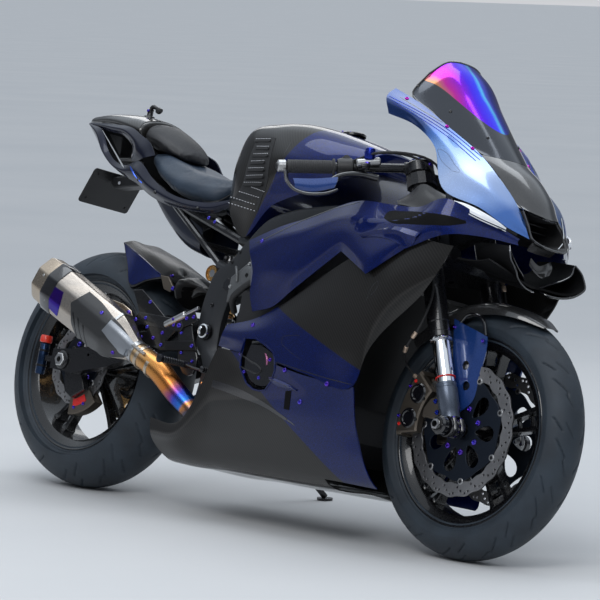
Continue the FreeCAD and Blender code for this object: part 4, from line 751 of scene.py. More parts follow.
def build_disc(name, centre, offsets, radius, band, arms, lobes, body, nodes):
    """Wavy discs with rows of holes, on carriers held by bobbins and bright bolts."""
    shape = Shape(name)
    hub = 19
    rim = radius - band - 5

    def edge(mean, swing):
        line = []
        for index in range(lobes * 10):
            a = 2 * math.pi * index / (lobes * 10)
            r = mean + swing * math.cos(lobes * a)
            line.append((r * math.cos(a), r * math.sin(a)))
        return line

    for offset in offsets:
        out = 1 if offset > 0 else -1
        middle = centre + Vector((0, offset, 0))
        holes = [edge(radius - band - 1, -1.7)]
        for index in range(lobes):
            for share, r, size in ((0.0, radius - 7.5, 3.0), (0.27, radius - band * 0.45, 3.4),
                                   (0.5, radius - band * 0.74, 3.2), (0.77, radius - band * 0.3, 3.2)):
                turn = math.radians(360 / lobes * (index + share))
                holes.append(circle(size, 10, turn, (r * math.cos(turn), r * math.sin(turn))))
        shape.plate(edge(radius - 1.8, 1.7), holes, 4.6, middle, ACROSS, "disc_steel", 0.3)
        outline = []
        for index in range(arms * 12):
            a = 2 * math.pi * index / (arms * 12)
            r = rim - 7 * (0.5 - 0.5 * math.cos(arms * a)) ** 1.5
            outline.append((r * math.cos(a), r * math.sin(a)))
        gaps = [circle(hub, 32)]
        inner, outer = hub + 20, rim - 16
        for index in range(arms):
            oval = []
            for step in range(20):
                t = 2 * math.pi * step / 20
                r = (inner + outer) / 2 + (outer - inner) / 2 * math.cos(t) * 0.9
                spread = 0.36 * 5 / arms * (0.75 + 0.25 * r / outer)
                a = math.radians(360 / arms * (index + 0.5)) + spread * math.sin(t)
                oval.append((r * math.cos(a), r * math.sin(a)))
            gaps.append(oval)
        shape.plate(outline, gaps, 4.2, middle, ACROSS, "carrier", 0.5)
        for index in range(arms):
            turn = math.pi - math.radians(360 / arms * index)
            spot = middle + polar(rim + 0.5, turn)
            for half, size, material, sides in ((3.4, 8.2, "bare_metal", 18), (4.0, 5.0, "black_metal", 14)):
                shape.rod(spot - Vector((0, half, 0)), spot + Vector((0, half, 0)), size, material, sides)
            turn = math.pi - math.radians(360 / arms * (index + 0.02))
            shape.bolt(middle + polar(hub + 34, turn, out * 2.1), (0, out, 0), 7.6, "violet")
    shape.finish(body, "steel", nodes, angle=35)


def build_wheels():
    build_tyre("front_tyre_full", FRONT_AXLE, 240, 60, 47, "front_wheel")
    build_tyre("rear_tyre_full", REAR_AXLE, 223, 92, 71, "rear_wheel")
    build_rim("front_wheel_rim", FRONT_AXLE, 47, 34, 65, "front_wheel", ["front_rim"])
    build_rim("rear_wheel_rim", REAR_AXLE, 71, 44, 83, "rear_wheel", ["rear_rim"])
    build_disc("front_brake_discs", FRONT_AXLE, (-FRONT_DISC_Y, FRONT_DISC_Y), 160, 33, 7, 20, "front_wheel",
               ["front_discs"])
    build_disc("rear_brake_disc", REAR_AXLE, (REAR_DISC_Y,), 110, 28, 5, 14, "rear_wheel", ["rear_disc"])
    build_sprocket()


def build_sprocket():
    shape = Shape("rear_chainwheel")
    teeth = 45
    root = CHAIN_PITCH / (2 * math.sin(math.pi / teeth)) - 8.1
    outline = []
    for index in range(teeth * 6):
        a = 2 * math.pi * index / (teeth * 6)
        reach = root + 2.6 * max(min(math.cos(teeth * a) * 1.5, 1), -1)
        outline.append((reach * math.cos(a), reach * math.sin(a)))
    holes = [circle(19, 32)]
    for index in range(10):
        turn = math.radians(36 * index + 18)
        size, r = (12, 84) if index % 2 else (8, 88)
        holes.append(circle(size, 18, turn, (r * math.cos(turn), r * math.sin(turn))))
    shape.plate(outline, holes, 6, REAR_AXLE + Vector((0, CHAIN_Y, 0)), ACROSS, "gold", 0.6)
    shape.lathe(REAR_AXLE, [(19, 83.5), (48, 83.5), (56, 88), (56, 98), (62, 102.8), (19, 102.8)], 60, "black_metal")
    for index in range(5):
        shape.bolt(REAR_AXLE + polar(62, math.radians(72 * index), CHAIN_Y + 3), ACROSS, 7, "violet")
    shape.finish("rear_wheel", "bare_metal", ["rear_sprocket"], angle=35)


# ---- Placing by the photograph: a line of sight through one of its points meets the surface that carries the detail

CAMERA_PLACE = Vector((6.329820931, -6.062947791, 1.319176168))
CAMERA_YAW, CAMERA_PITCH, CAMERA_ROLL = 0.8116275914816397, 0.08775991262044965, 0.0323315927000835
CAMERA_PIXELS = 3486.126776008563
PHOTO_SIZE = 600


def camera_axes():
    """The camera's right, its top and the way it looks."""
    yaw, pitch, roll = CAMERA_YAW, CAMERA_PITCH, CAMERA_ROLL
    ahead = Vector((-math.sin(yaw) * math.cos(pitch), math.cos(yaw) * math.cos(pitch), -math.sin(pitch)))
    level = Vector((math.cos(yaw), math.sin(yaw), 0))
    upward = level.cross(ahead)
    return level * math.cos(roll) + upward * math.sin(roll), upward * math.cos(roll) - level * math.sin(roll), ahead


def sight(u, v):
    """Start and direction, on the upright bike, of the line through a point of the photograph."""
    right, top, ahead = camera_axes()
    way = ahead + right * ((u - PHOTO_SIZE / 2) / CAMERA_PIXELS) - top * ((v - PHOTO_SIZE / 2) / CAMERA_PIXELS)
    back = REST.inverted()
    return back @ CAMERA_PLACE, (back.to_3x3() @ way).normalized()


def at_side(u, v, y):
    """Where the line of sight meets the plane at y."""
    start, way = sight(u, v)
    return start + way * ((y - start.y) / way.y)


def on_plane(pixels, y):
    return [at_side(u, v, y) for u, v in pixels]


def at_points(spots, side=-1):
    """Points under (u, v, y) spots, on the side that is asked for."""
    return mirrored([at_side(*spot) for spot in spots], side)


def side_view(points):
    """The (x, z) outline that prism takes."""
    return [(point.x, point.z) for point in points]


class Carrier:
    """The outer surface of a piece, to lay details on."""

    def __init__(self, grid):
        count = len(grid[0])
        faces = [(r * count + c, r * count + c + 1, (r + 1) * count + c + 1, (r + 1) * count + c)
                 for r in range(len(grid) - 1) for c in range(count - 1)]
        self.tree = BVHTree.FromPolygons([tuple(p) for row in grid for p in row], faces)

    def hit(self, start, way):
        """Place and normal, turned against the ray, of the first hit."""
        place, normal, _, _ = self.tree.ray_cast(start, way)
        return place and (place, normal if normal.dot(way) < 0 else -normal)

    def seen(self, u, v):
        return self.hit(*sight(u, v))

    def beside(self, x, z):
        return self.hit(Vector((x, -1000, z)), Vector(ACROSS))

    def trail(self, pixels, steps=6):
        """Surface points under a smooth line through image points."""
        line = [self.seen(p.x, p.y) for p in spline([(u, v, 0) for u, v in pixels], steps)]
        return [hit for hit in line if hit]


def lifted(trail, height):
    """The same surface points, standing off by a height."""
    return [(place + normal * height, normal) for place, normal in trail]


def strip(shape, trail, width, height, material, side=-1, sink=0.8, taper=True):
    """A low band along surface points."""
    loops = []
    last = len(trail) - 1
    for index, (place, normal) in enumerate(trail):
        run = trail[min(index + 1, last)][0] - trail[max(index - 1, 0)][0]
        if run.length < 1e-6:
            continue
        half = run.normalized().cross(normal).normalized() * width / 2 * (0.3 if taper and index in (0, last) else 1)
        loops.append(mirrored([place - half - normal * sink, place - half * 0.7 + normal * height,
                               place + half * 0.7 + normal * height, place + half - normal * sink], side))
    if len(loops) > 1:
        shape.loops(loops, material)


def blade(shape, carrier, upper, lower, height, material, side=-1, crown=0.5):
    """A raised form on a surface between two lines of image points."""
    top, low = ([carrier.seen(p.x, p.y) for p in spline([(u, v, 0) for u, v in line], 6)] for line in (upper, lower))
    loops = []
    for above, below in zip(top, low):
        if not above or not below:
            continue
        (a, n), (b, m) = above, below
        middle = (n + m).normalized()
        loops.append(mirrored([a - middle, a + middle * height * 0.35, a.lerp(b, 0.3) + middle * height,
                               a.lerp(b, 0.7) + middle * height * (1 - crown), b + middle * height * 0.2, b - middle],
                              side))
    if len(loops) > 1:
        shape.loops(loops, material)


def patch(shape, carrier, upper, lower, height, material, side=-1, across=12):
    """A cover that follows a surface between two lines of image points, standing off by its height."""
    top, low = (spline([(u, v, 0) for u, v in line], 6) for line in (upper, lower))
    grid = []
    for above, below in zip(top, low):
        row, last = [], None
        for index in range(across + 1):
            last = carrier.seen(*above.lerp(below, index / across).xy) or last
            if last:
                row.append(last[0] + last[1] * height)
        if len(row) == across + 1:
            grid.append(mirrored(row, side))
    if len(grid) > 1:
        shape.sheet(grid, height * 0.8 + 0.4, (-0.2, side, 0.3), material)


def bolt_on(shape, hit, radius, material, side=-1, lift=0.0):
    """A bolt on a surface point drawn for the right side, or none where the line of sight met nothing."""
    if hit:
        place, normal = mirrored([hit[0] + hit[1] * lift, hit[1]], side)
        shape.bolt(place, normal, radius, material)


# ---- Side panels

SHOULDER = [
    [(-22, -200, 678), (-2, -212, 650), (26, -214, 600), (30, -212, 545), (51, -212, 502)],
    [(90, -204, 722), (96, -222, 690), (110, -229, 620), (122, -226, 570), (130, -222, 520)],
    [(180, -206, 748), (184, -230, 712), (190, -238, 650), (192, -236, 600), (192, -230, 562)],
    [(340, -202, 802), (340, -236, 756), (342, -246, 712), (345, -246, 690), (346, -240, 671)],
    [(450, -200, 800), (452, -240, 752), (458, -254, 700), (462, -262, 655), (465, -262, 621)],
    [(545, -208, 800), (545, -238, 765), (550, -246, 730), (556, -250, 705), (560, -246, 692)],
    [(636, -217, 824), (639, -221, 797), (645, -222, 773), (651, -219, 756), (661, -211, 742)],
    [(698, -153, 799), (698, -157, 788), (699, -158, 776), (704, -157, 763), (711, -152, 751)],
    [(762, -79, 764), (761, -82, 760), (761, -83, 756), (762, -83, 752), (765, -81, 749)],
]
SIDE = [
    [(-42, -200, 463), (-46, -206, 440), (-58, -200, 408)],
    [(54, -206, 484), (54, -222, 450), (54, -222, 396)],
    [(164, -218, 532), (170, -232, 470), (180, -234, 386)],
    [(304, -226, 620), (306, -244, 500), (312, -240, 366)],
    [(444, -240, 686), (460, -252, 520), (474, -240, 356)],
    [(560, -232, 720), (540, -246, 600), (500, -240, 440)],
    [(676, -204, 716), (650, -212, 650), (612, -214, 590)],
]
BELLY = [
    [(-312, -150, 207), (-290, -154, 160), (-255, -128, 118), (-255, 0, 112)],
    [(-175, -180, 205), (-175, -178, 165), (-175, -140, 118), (-175, 0, 112)],
    [(-58, -200, 404), (-58, -192, 250), (-58, -150, 124), (-58, 0, 112)],
    [(110, -222, 390), (110, -206, 250), (110, -155, 124), (110, 0, 112)],
    [(312, -238, 362), (312, -216, 240), (312, -165, 126), (312, 0, 114)],
    [(474, -238, 352), (490, -216, 250), (550, -184, 134), (550, 0, 120)],
]
WINDOW = [(58, 434), (100, 436), (134, 426), (176, 408), (187, 392), (188, 363), (176, 334), (160, 315), (138, 311),
          (112, 313), (84, 324), (66, 342), (48, 362), (44, 386)]
SIDE_PANEL_FOOT = 380
CARRIERS = {}


def build_side_panels():
    soft, firm = (smooth_grid(SHOULDER, 6, 10, rib_corners=(1,), row_corners=corners) for corners in ((), (3, 4, 5)))
    shoulder_grid = [[a.lerp(b, (index / (len(row) - 1)) ** 2) for index, (a, b) in enumerate(zip(row, other))]
                     for row, other in zip(soft, firm)]
    side_grid = smooth_grid(SIDE, 12, 12)
    belly_grid = smooth_grid(map(whole, BELLY), 8, 12, row_corners=(2,))
    CARRIERS.update(shoulder=Carrier(shoulder_grid), side=Carrier(side_grid), belly=Carrier(belly_grid))
    for side, name in SIDES:
        window = Shape("window")
        window.prism(WINDOW, 0, side * 400, "plastic")
        shape = Shape("side_panel_" + name)
        shape.sheet(mirrored_rows(side_grid, side), 3, (0, side, 0), "side_paint")
        shape.finish("frame", "blue_paint", ["side_fairing_" + name], cut=window)
        shape = Shape("shoulder_panel_" + name)
        shape.sheet(mirrored_rows(shoulder_grid, side), 3, (0, side, 0.3), "paint")
        build_shoulder_details(shape, side)
        shape.finish("frame", "blue_paint", ["shoulder_fairing_" + name])
        build_side_details(side, name)
    shape = Shape("belly_cowl")
    shape.sheet(belly_grid, 3, (0, 0, -1), "belly_paint")
    cutter = Shape("cutter")
    cutter.prism(WINDOW, -400, 400, "plastic")
    well = ((-173, -10), (173, -10), (173, 129), (100, 129), (100, 400), (-100, 400), (-100, 129), (-173, 129))
    cutter.loops([[Vector((x, y, z)) for y, z in well] for x in (372, 900)], "plastic")
    shape.finish("frame", "carbon", ["belly_pan"], cut=cutter)


def build_shoulder_details(shape, side):
    carrier = CARRIERS["shoulder"]
    patch(shape, carrier, [(384, 217.5), (387, 213), (405, 211.5), (430, 213), (450, 216), (466, 221)],
          [(384.8, 219), (391, 222.5), (408, 224), (430, 225), (450, 225.5), (466, 223.5)], 0.7, "void_black", side,
          across=6)
    blade(shape, carrier, [(361, 236), (378, 230), (396, 227), (415, 231), (431, 238)],
          [(362, 237.5), (378, 237), (392, 240.5), (404, 246), (430, 239.5)], 10, "paint", side, crown=0.8)
    strip(shape, carrier.trail([(257, 243), (285, 229), (320, 213), (360, 202)]), 3.0, 0.8, "gloss_black", side)
    for u, v in ((414, 246.5), (243.5, 243), (262, 241)):
        bolt_on(shape, carrier.seen(u, v), 6, "violet", side)


def build_side_details(side, name):
    """Bolts, seams, slot and ridge of a side panel, and the dark inner wall above it."""
    carrier, belly = CARRIERS["side"], CARRIERS["belly"]
    shape = Shape("side_trim_" + name)
    patch(shape, belly, [(285.6, 391), (291.5, 390.5)], [(283.8, 409), (289.2, 410)], 0.7, "void_black", side, across=6)
    patch(shape, belly, [(213, 380), (228, 384.5), (242, 390), (262, 401), (287, 418.5)],
          [(211.5, 387), (226, 392), (240, 397.5), (260, 405), (286, 420.5)], 0.8, "gloss_black", side, across=4)
    for u, v in ((253, 325), (285, 370), (327, 384), (300, 402)):
        bolt_on(shape, carrier.seen(u, v) or belly.seen(u, v), 6.5, "violet", side)
    seam = carrier.trail([(276, 362), (300, 370), (326, 378), (353, 385)])
    teardrop = carrier.trail([(301, 360), (288, 350), (281.5, 342.5), (283, 337), (290, 335.4), (300, 335.5)], 5)
    contour = carrier.trail([(366, 300), (374, 284), (378, 281), (377, 287), (369, 297)], 5)
    for trail, width, height, sink in ((seam, 2.4, 0.3, 0.6), (teardrop, 1.2, 0.2, 0.4), (contour, 2.0, 0.2, 0.4)):
        strip(shape, trail, width, height, "gloss_black", side, sink)
    blade(shape, belly, [(271, 377), (280, 380), (290, 385), (297, 390)], [(269, 379), (277, 386), (288, 389),
          (297, 391)], 7, "paint", side, crown=0.7)
    border = belly.trail([(241.5, 390.5), (262, 403), (280, 415), (295, 425.7)])
    strip(shape, border, 3.0, 0.4, "gloss_black", side, 0.6)
    around_window = []
    for x, z in WINDOW + WINDOW[:1]:
        first, second = (carrier, belly) if z > SIDE_PANEL_FOOT else (belly, carrier)
        around_window.append(first.beside(x, z) or second.beside(x, z))
    strip(shape, [hit for hit in around_window if hit], 5, 1.2, "paint", side, 1.5, taper=False)
    shape.finish("frame", "blue_paint")
    inner = Shape("inner_wall_" + name)
    rows = [[(30, -176, 540), (60, -190, 470)], [(180, -184, 600), (186, -196, 500)],
            [(320, -190, 690), (330, -206, 580)], [(450, -200, 740), (462, -214, 660)]]
    inner.sheet(mirrored_rows(smooth_grid(rows, 3, 8), side), 2, (0, side, 0), "plastic")
    inner.finish("frame", "black_plastic")


# ---- Cowl, screen and nose

COWL_SIDE = [
    [(352, -172, 1088), (352, -196, 1064), (371, -198, 1020)],
    [(440, -152, 1052), (445, -190, 1022), (450, -188, 1000)],
    [(510, -128, 1010), (530, -182, 965), (530, -188, 955)],
    [(591, -92, 958), (600, -176, 900), (609, -200, 844)],
    [(663, -80, 902), (680, -142, 860), (690, -156, 818)],
    [(715, -70, 854), (730, -104, 826), (744, -106, 784)],
    [(755, -64, 806), (769, -71, 790), (780, -66, 768)],
]
NOSE = [
    [(640, 0, 955), (618, -60, 955), (597, -89.5, 955)],
    [(705, 0, 915), (690, -48, 910), (669, -76, 898)],
    [(752, 0, 868), (742, -40, 862), (719, -66, 850)],
    [(778, 0, 826), (772, -24, 828), (741, -62, 838)],
]
SCREEN = [
    [(400, 0, 1189), (396, -56, 1181), (384, -104, 1140)],
    [(432, 0, 1167), (428, -74, 1150), (372, -132, 1088)],
    [(486, 0, 1111), (482, -78, 1085), (450, -128, 1040)],
    [(561, 0, 1033), (553, -68, 1016), (520, -112, 990)],
    [(639.6, 0, 955.6), (617.6, -59, 955.6), (597.6, -86, 955.8)],
]


def build_cowl():
    side_grid = smooth_grid(COWL_SIDE, 8, 10)
    nose_grid = smooth_grid(map(whole, NOSE), 8, 10)
    screen_grid = smooth_grid(map(whole, SCREEN), 8, 10)
    carrier, screen = Carrier(side_grid), Carrier(screen_grid)
    for side, name in SIDES:
        shape = Shape("cowl_panel_" + name)
        # The cowl's paint is paler towards the nose by a painted sky reflection.
        shape.sheet(mirrored_rows(side_grid, side), 3, (0.2, side, 0.5), "cowl_paint")
        for pixels, width in (([(389, 96), (420, 112), (450, 131), (482, 157)], 1.6),
                              ([(390, 99), (420, 115), (449, 134), (480, 160)], 1.4),
                              ([(391, 102), (420, 118), (448, 137), (476, 161)], 1.4)):
            strip(shape, carrier.trail(pixels), width, 0.9, "blue_metal", side, 0.5)
        strip(shape, carrier.trail([(400, 97), (430, 115), (455, 130), (480, 150)]), 3.4, 0.5, "gloss_black", side)
        strip(shape, carrier.trail([(452, 171), (440, 158), (438, 149), (444, 151), (455, 165), (460, 172), (452, 171)],
                                   5), 1.0, 0.2, "gloss_black", side, 0.4)
        for u, v in ((407, 98.5), (447, 126.5), (472.5, 148.5)):
            bolt_on(shape, carrier.seen(u, v), 5, "magenta", side)
        shape.finish("frame", "blue_paint", ["cowl_side_" + name])
    shape = Shape("nose_panel")
    shape.sheet(nose_grid, 3, (1, 0, 0.5), "nose_carbon")
    shape.finish("frame", "carbon", ["cowl_nose"])
    shape = Shape("screen_pane")
    shape.sheet(screen_grid, 3, (0.5, 0, 1), "iridescent")
    edge = [row[0] for row in screen_grid[::-1]] + screen_grid[0][1:-1] + [row[-1] for row in screen_grid]
    shape.tube([edge[i] for i in range(0, len(edge), 2)] + [edge[-1]], 2.4, "gloss_black", steps=1, sides=8)
    for u, v in ((450.5, 111.5), (488, 138), (418, 85.5)):
        for side, _ in SIDES:
            bolt_on(shape, screen.seen(u, v), 4.2, "black_metal", side)
    shape.finish("frame", "screen", ["windscreen"])


# ---- Tank, seats and tail

TANK = [
    [(-246, 0, 948), (-246, -70, 930), (-246, -92, 885), (-246, -84, 834)],
    [(-210, 0, 984), (-210, -96, 962), (-210, -120, 890), (-210, -122, 775)],
    [(-112, 0, 1001), (-112, -122, 974), (-112, -150, 885), (-112, -140, 692)],
    [(-20, 0, 1004), (-20, -130, 976), (-20, -165, 900), (-20, -152, 776)],
    [(70, 0, 992), (70, -128, 966), (70, -165, 905), (70, -152, 812)],
    [(150, 0, 975), (150, -112, 950), (150, -146, 905), (150, -132, 862)],
    [(236, 0, 952), (236, -76, 934), (236, -92, 912), (236, -84, 890)],
]
SEAT_RIBS = ((-592, 906, 84, 868, 2), (-500, 878, 130, 824, 4), (-420, 856, 142, 792, 2), (-340, 850, 138, 776, -4),
             (-285, 848, 112, 774, -8), (-250.5, 846, 66, 800, -8))
PAD = [
    [(-639.6, 0, 990), (-639.6, -70, 972), (-639.6, -80, 930), (-639.6, 0, 905)],
    [(-590, 0, 972), (-590, -72, 956), (-590, -82, 916), (-590, 0, 908)],
    [(-540, 0, 942), (-540, -64, 930), (-540, -74, 900), (-540, 0, 893)],
    [(-502, 0, 905), (-502, -44, 900), (-502, -50, 886), (-502, 0, 882)],
]
HUMP = [
    [(-905, 0, 992), (-905, -36, 984), (-905, -44, 968), (-905, 0, 962)],
    [(-800, 0, 1002), (-800, -58, 990), (-800, -66, 966), (-800, 0, 950)],
    [(-700, 0, 1000), (-700, -72, 984), (-700, -82, 950), (-700, 0, 920)],
    [(-641, 0, 990), (-641, -76, 974), (-641, -84, 935), (-641, 0, 905)],
]
TAIL_LOW = [
    [(-885, -62, 965), (-884, -66, 961), (-883, -62, 957)],
    [(-800, -84, 942), (-812, -92, 930), (-822, -82, 921)],
    [(-748, -94, 888), (-764, -102, 884), (-780, -92, 890)],
    [(-705, -102, 862), (-712, -108, 850), (-715, -98, 848)],
    [(-640, -112, 852), (-645, -120, 834), (-640, -108, 820)],
    [(-596, -120, 864), (-592, -132, 832), (-586, -118, 806)],
    [(-505, -134, 820), (-505, -143, 796), (-506, -128, 774)],
    [(-420, -148, 786), (-412, -152, 768), (-400, -138, 750)],
    [(-330, -144, 770), (-320, -148, 756), (-310, -134, 744)],
    [(-270, -130, 772), (-262, -132, 758), (-262, -120, 746)],
    [(-226, -108, 786), (-224, -110, 778), (-224, -104, 769)],
]
TAIL_HIGH = [
    [(-885, -60, 966), (-880, -65, 962), (-872, -62, 958)],
    [(-760, -86, 962), (-760, -96, 952), (-764, -88, 941)],
    [(-655, -104, 952), (-668, -112, 940), (-690, -98, 929)],
    [(-600, -116, 932), (-618, -122, 914), (-642, -106, 900)],
    [(-560, -122, 916), (-590, -128, 892), (-634, -108, 868)],
    [(-526, -124, 882), (-560, -130, 872), (-600, -116, 862)],
]


def drawn_in(loop, scale, shift):
    """A loop scaled about its own middle and moved."""
    centre = sum(loop, Vector()) / len(loop)
    return [centre + (point - centre) * scale + Vector(shift) for point in loop]


def rounded_ends(grid, reach):
    """Round the two end rings of a closed form over within its length."""
    steps = ((0.80, 0), (0.90, reach * 0.08), (0.96, reach * 0.3), (0.99, reach * 0.7))
    first = [drawn_in(grid[0], scale, (depth, 0, 0)) for scale, depth in steps]
    last = [drawn_in(grid[-1], scale, (-depth, 0, 0)) for scale, depth in steps[::-1]]
    return first + grid[1:-1] + last


def closed_ring(rib, steps):
    """A smooth closed loop through a half rib that starts at its top centre and ends at its bottom centre."""
    right = [Vector(p) for p in rib]
    loop = right + [Vector((p.x, -p.y, p.z)) for p in right[-2:0:-1]]
    count = len(loop)
    line = []
    for index in range(count):
        before, here, after, beyond = (loop[(index + shift) % count] for shift in (-1, 0, 1, 2))
        for step in range(steps):
            t = step / steps
            line.append(0.5 * (2 * here + (after - before) * t + (2 * before - 5 * here + 4 * after - beyond) * t * t
                               + (3 * here - before - 3 * after + beyond) * t ** 3))
    return line


def soft_form(ribs, steps, along, reach):
    """A smooth closed form through half ribs, with rounded ends."""
    rings = [closed_ring(rib, steps) for rib in ribs]
    columns = [spline([ring[index] for ring in rings], along) for index in range(len(rings[0]))]
    return rounded_ends([list(row) for row in zip(*columns)], reach)


def build_tank():
    grid = rounded_ends(smooth_grid(map(whole, TANK), 8, 8), 8)
    carrier = Carrier(grid)
    shape = Shape("tank_shell")
    shape.loops(grid, "tank_paint")
    lid = Vector((60, 0, 990))
    shape.lathe(lid, [(34, 0), (34, 5), (30, 8), (24, 8.5), (23, 7), (0.5, 7)], 40, "black_metal", (-0.12, 0, 1),
                closed=False)
    for index in range(6):
        turn = math.radians(60 * index)
        shape.bolt(lid + Vector((28.5 * math.cos(turn), 28.5 * math.sin(turn), 8)), (-0.12, 0, 1), 2.6, "violet")
    for side, _ in SIDES:
        strip(shape, carrier.trail([(292, 141), (281, 160), (274, 178), (268, 196)]), 1.6, 0.3, "gloss_black", side,
              0.5)
    shape.finish("frame", "blue_paint", ["fuel_tank"])
    shape = Shape("tank_pads")
    rows = [((257, 139.5), (272.5, 139.5)), ((258, 147), (271, 147)), ((254.5, 154.5), (270, 154)),
            ((252.5, 161.5), (266.5, 161)), ((249.5, 168.5), (266, 168)), ((247.5, 176), (265, 175)),
            ((245, 182.5), (264, 182.5)), ((252, 187), (266.5, 192)), ((240, 191.5), (261.5, 198)),
            ((231.5, 197), (257.5, 205)), ((227, 202), (256, 211))]
    for side, _ in SIDES:
        blade(shape, carrier, [(258, 138), (252, 152), (247, 168), (243, 184), (236, 196), (228, 203)],
              [(276, 138), (272, 152), (269, 168), (267, 184), (262, 198), (257, 213)], 4.5, "rubber", side, crown=0.1)
        for index, (start, end) in enumerate(rows):
            trail = carrier.trail([start, ((start[0] + end[0]) / 2, (start[1] + end[1]) / 2), end], 14)
            if len(trail) < 3:
                continue
            for first in range(1, len(trail) - 1, 3):
                strip(shape, lifted(trail[first:first + 2], 4.2), 1.7, 1.0, "thread", side, 0.4, taper=False)
            if index < 7:
                ridge = [(place + normal * 4.0 - Vector((0, 0, 6)), normal) for place, normal in trail]
                strip(shape, ridge, 8.5, 3.2, "rubber", side, 1.5)
    shape.finish("frame", "rubber", ["tank_grips"], angle=50)


def puffed(name, grid, material, body, slot, node_name, cap):
    """A filled cover: the form is remeshed, swollen as cloth, capped, and given one subdivision."""
    shape = Shape(name + "_form")
    shape.loops(grid, material)
    thing = shape.finish(body, slot)
    mesh = thing.data
    remesh = thing.modifiers.new("remesh", "REMESH")
    remesh.mode = "VOXEL"
    remesh.voxel_size = 0.005
    bpy.context.view_layer.update()
    mesh = final_mesh(thing)
    thing.modifiers.clear()
    thing.data = mesh
    start = [vertex.co.copy() for vertex in mesh.vertices]
    cloth = thing.modifiers.new("cloth", "CLOTH")
    cloth.settings.use_pressure = True
    cloth.settings.uniform_pressure_force = 4
    cloth.settings.effector_weights.gravity = 0
    cloth.settings.quality = 5
    scene = bpy.context.scene
    for number in range(1, 21):
        scene.frame_set(number)
    swollen = final_mesh(thing)
    for vertex, place, moved in zip(mesh.vertices, start, swollen.vertices):
        step = moved.co - place
        if step.length > cap / 1000:
            step = step * (cap / 1000 / step.length)
        vertex.co = place + step
    thing.modifiers.clear()
    bpy.data.meshes.remove(swollen)
    scene.frame_set(1)
    mesh.materials.clear()
    mesh.materials.append(MATERIALS[material])
    mesh.shade_smooth()
    more = thing.modifiers.new("smooth", "SUBSURF")
    more.levels = more.render_levels = 1
    thing.name = name
    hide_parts(node_name)
    return thing


def build_seats():
    ribs = []
    for x, top, half, bottom, roll in SEAT_RIBS:
        ribs.append([(x, 0, top - 5), (x, -half * 0.58, top + roll - 4), (x, -half * 0.94, (top + bottom) / 2 + 6),
                     (x, -half * 0.84, bottom + 4), (x, 0, bottom + 3)])
    ribs[0] = [(-588, p[1], p[2]) for p in ribs[0]]
    ribs[-1] = [(-254, p[1], p[2]) for p in ribs[-1]]
    grid = soft_form(ribs, 8, 8, 14)
    carrier = Carrier([row + row[:1] for row in grid])
    puffed("seat_cushion", grid, "seat", "frame", "seat_cover", "rider_seat", 5)
    shape = Shape("seat_trim")
    lift = 3.6
    for pixels, material, width in (([(183, 166), (190, 168), (200, 171)], "cyan", 5),
                                    ([(197, 173), (204, 173.4)], "cyan", 9), ([(205, 174.5), (213, 176.5)], "pink", 9)):
        strip(shape, lifted(carrier.trail(pixels, 8), lift), width, 0.5, material, -1, 4, taper=False)
    edge = [(145, 152), (146, 163), (152, 177), (165, 188), (182, 196), (200, 201), (218, 201), (230, 195)]
    for side, _ in SIDES:
        strip(shape, lifted(carrier.trail(edge, 8), lift - 1.2), 2.2, 1.6, "pad", side, 5, taper=False)
    shape.finish("frame", "seat_cover")
    pad_ribs = [[(x, y * 0.95, 905 + (z - 905) * 0.97 + (2 if z < 920 else -3)) for x, y, z in rib] for rib in PAD]
    pad_ribs[0] = [(-636, y, z) for x, y, z in pad_ribs[0]]
    pad_ribs[-1] = [(-506, y, z) for x, y, z in pad_ribs[-1]]
    puffed("passenger_pad", soft_form(pad_ribs, 9, 10, 14), "pad", "frame", "pad_cover", "pillion_pad", 4)


def build_tail():
    low = smooth_grid(TAIL_LOW, 8, 8)
    high = smooth_grid(TAIL_HIGH, 8, 8)
    carrier = Carrier(low)
    for side, name in SIDES:
        shape = Shape("tail_panel_" + name)
        shape.sheet(mirrored_rows(low, side), 4, (0, side, 0), "tail_navy")
        shape.sheet(mirrored_rows(high, side), 4, (0, side, 0.3), "tail_navy")
        core = on_plane(((99, 124), (124, 131), (150, 146), (181, 178), (184, 199), (160, 196), (131, 180),
                                                (118, 168), (109, 156), (103, 142)), -60)
        shape.prism(side_view(core), side * 54, side * 60, "void_black", 0.5)
        strip(shape, carrier.trail([(112, 126), (120, 146), (128, 161), (136, 177), (142, 183)]), 4.6, 1.8,
              "edge_blue", side, 1)
        strip(shape, carrier.trail([(98, 124), (107, 137), (115, 152), (124, 168)]), 5, 0.8, "bare_metal", side, 1)
        inner = [(-800, 940), (-700, 928), (-642, 900), (-642, 852), (-700, 856), (-742, 884)]
        shape.prism(inner, side * 52, side * 60, "plastic", 1)
        shape.tube([(-640, side * 58, 862), (-660, side * 84, 866), (-690, side * 98, 862)], 9, "plastic", sides=10)
        for x, z in ((-300, 752), (-560, 812), (-470, 782)):
            bolt_on(shape, carrier.beside(x, z), 5, "black_metal", side)
        shape.finish("frame", "blue_paint", ["tail_fairing_" + name])
    shape = Shape("tail_hump")
    shape.loops(soft_form(HUMP, 8, 10, 10), "carbon")
    shape.lathe((-722, 0, 995), [(17, 0), (17, 4), (14, 9), (9, 11), (8, 14), (8, 24), (10, 27), (4, 31)], 28,
                "black_metal", UP, closed=False)
    shape.tube([(-722, 0, 1022), (-716, 0, 1030), (-700, 2, 1027), (-684, 2, 1021)], [5.5, 6, 5, 7], "black_metal",
               sides=14)
    shape.lathe((-690, -7, 1021), [(4, 0), (8, 2), (9, 7), (8, 12), (4, 14)], 20, "plastic", ACROSS, closed=False)
    shape.bolt((-722, -9, 1018), OUT_RIGHT, 4, "violet")
    shape.finish("frame", "carbon", ["tail_cover"])
    build_undertail()
    build_plate()


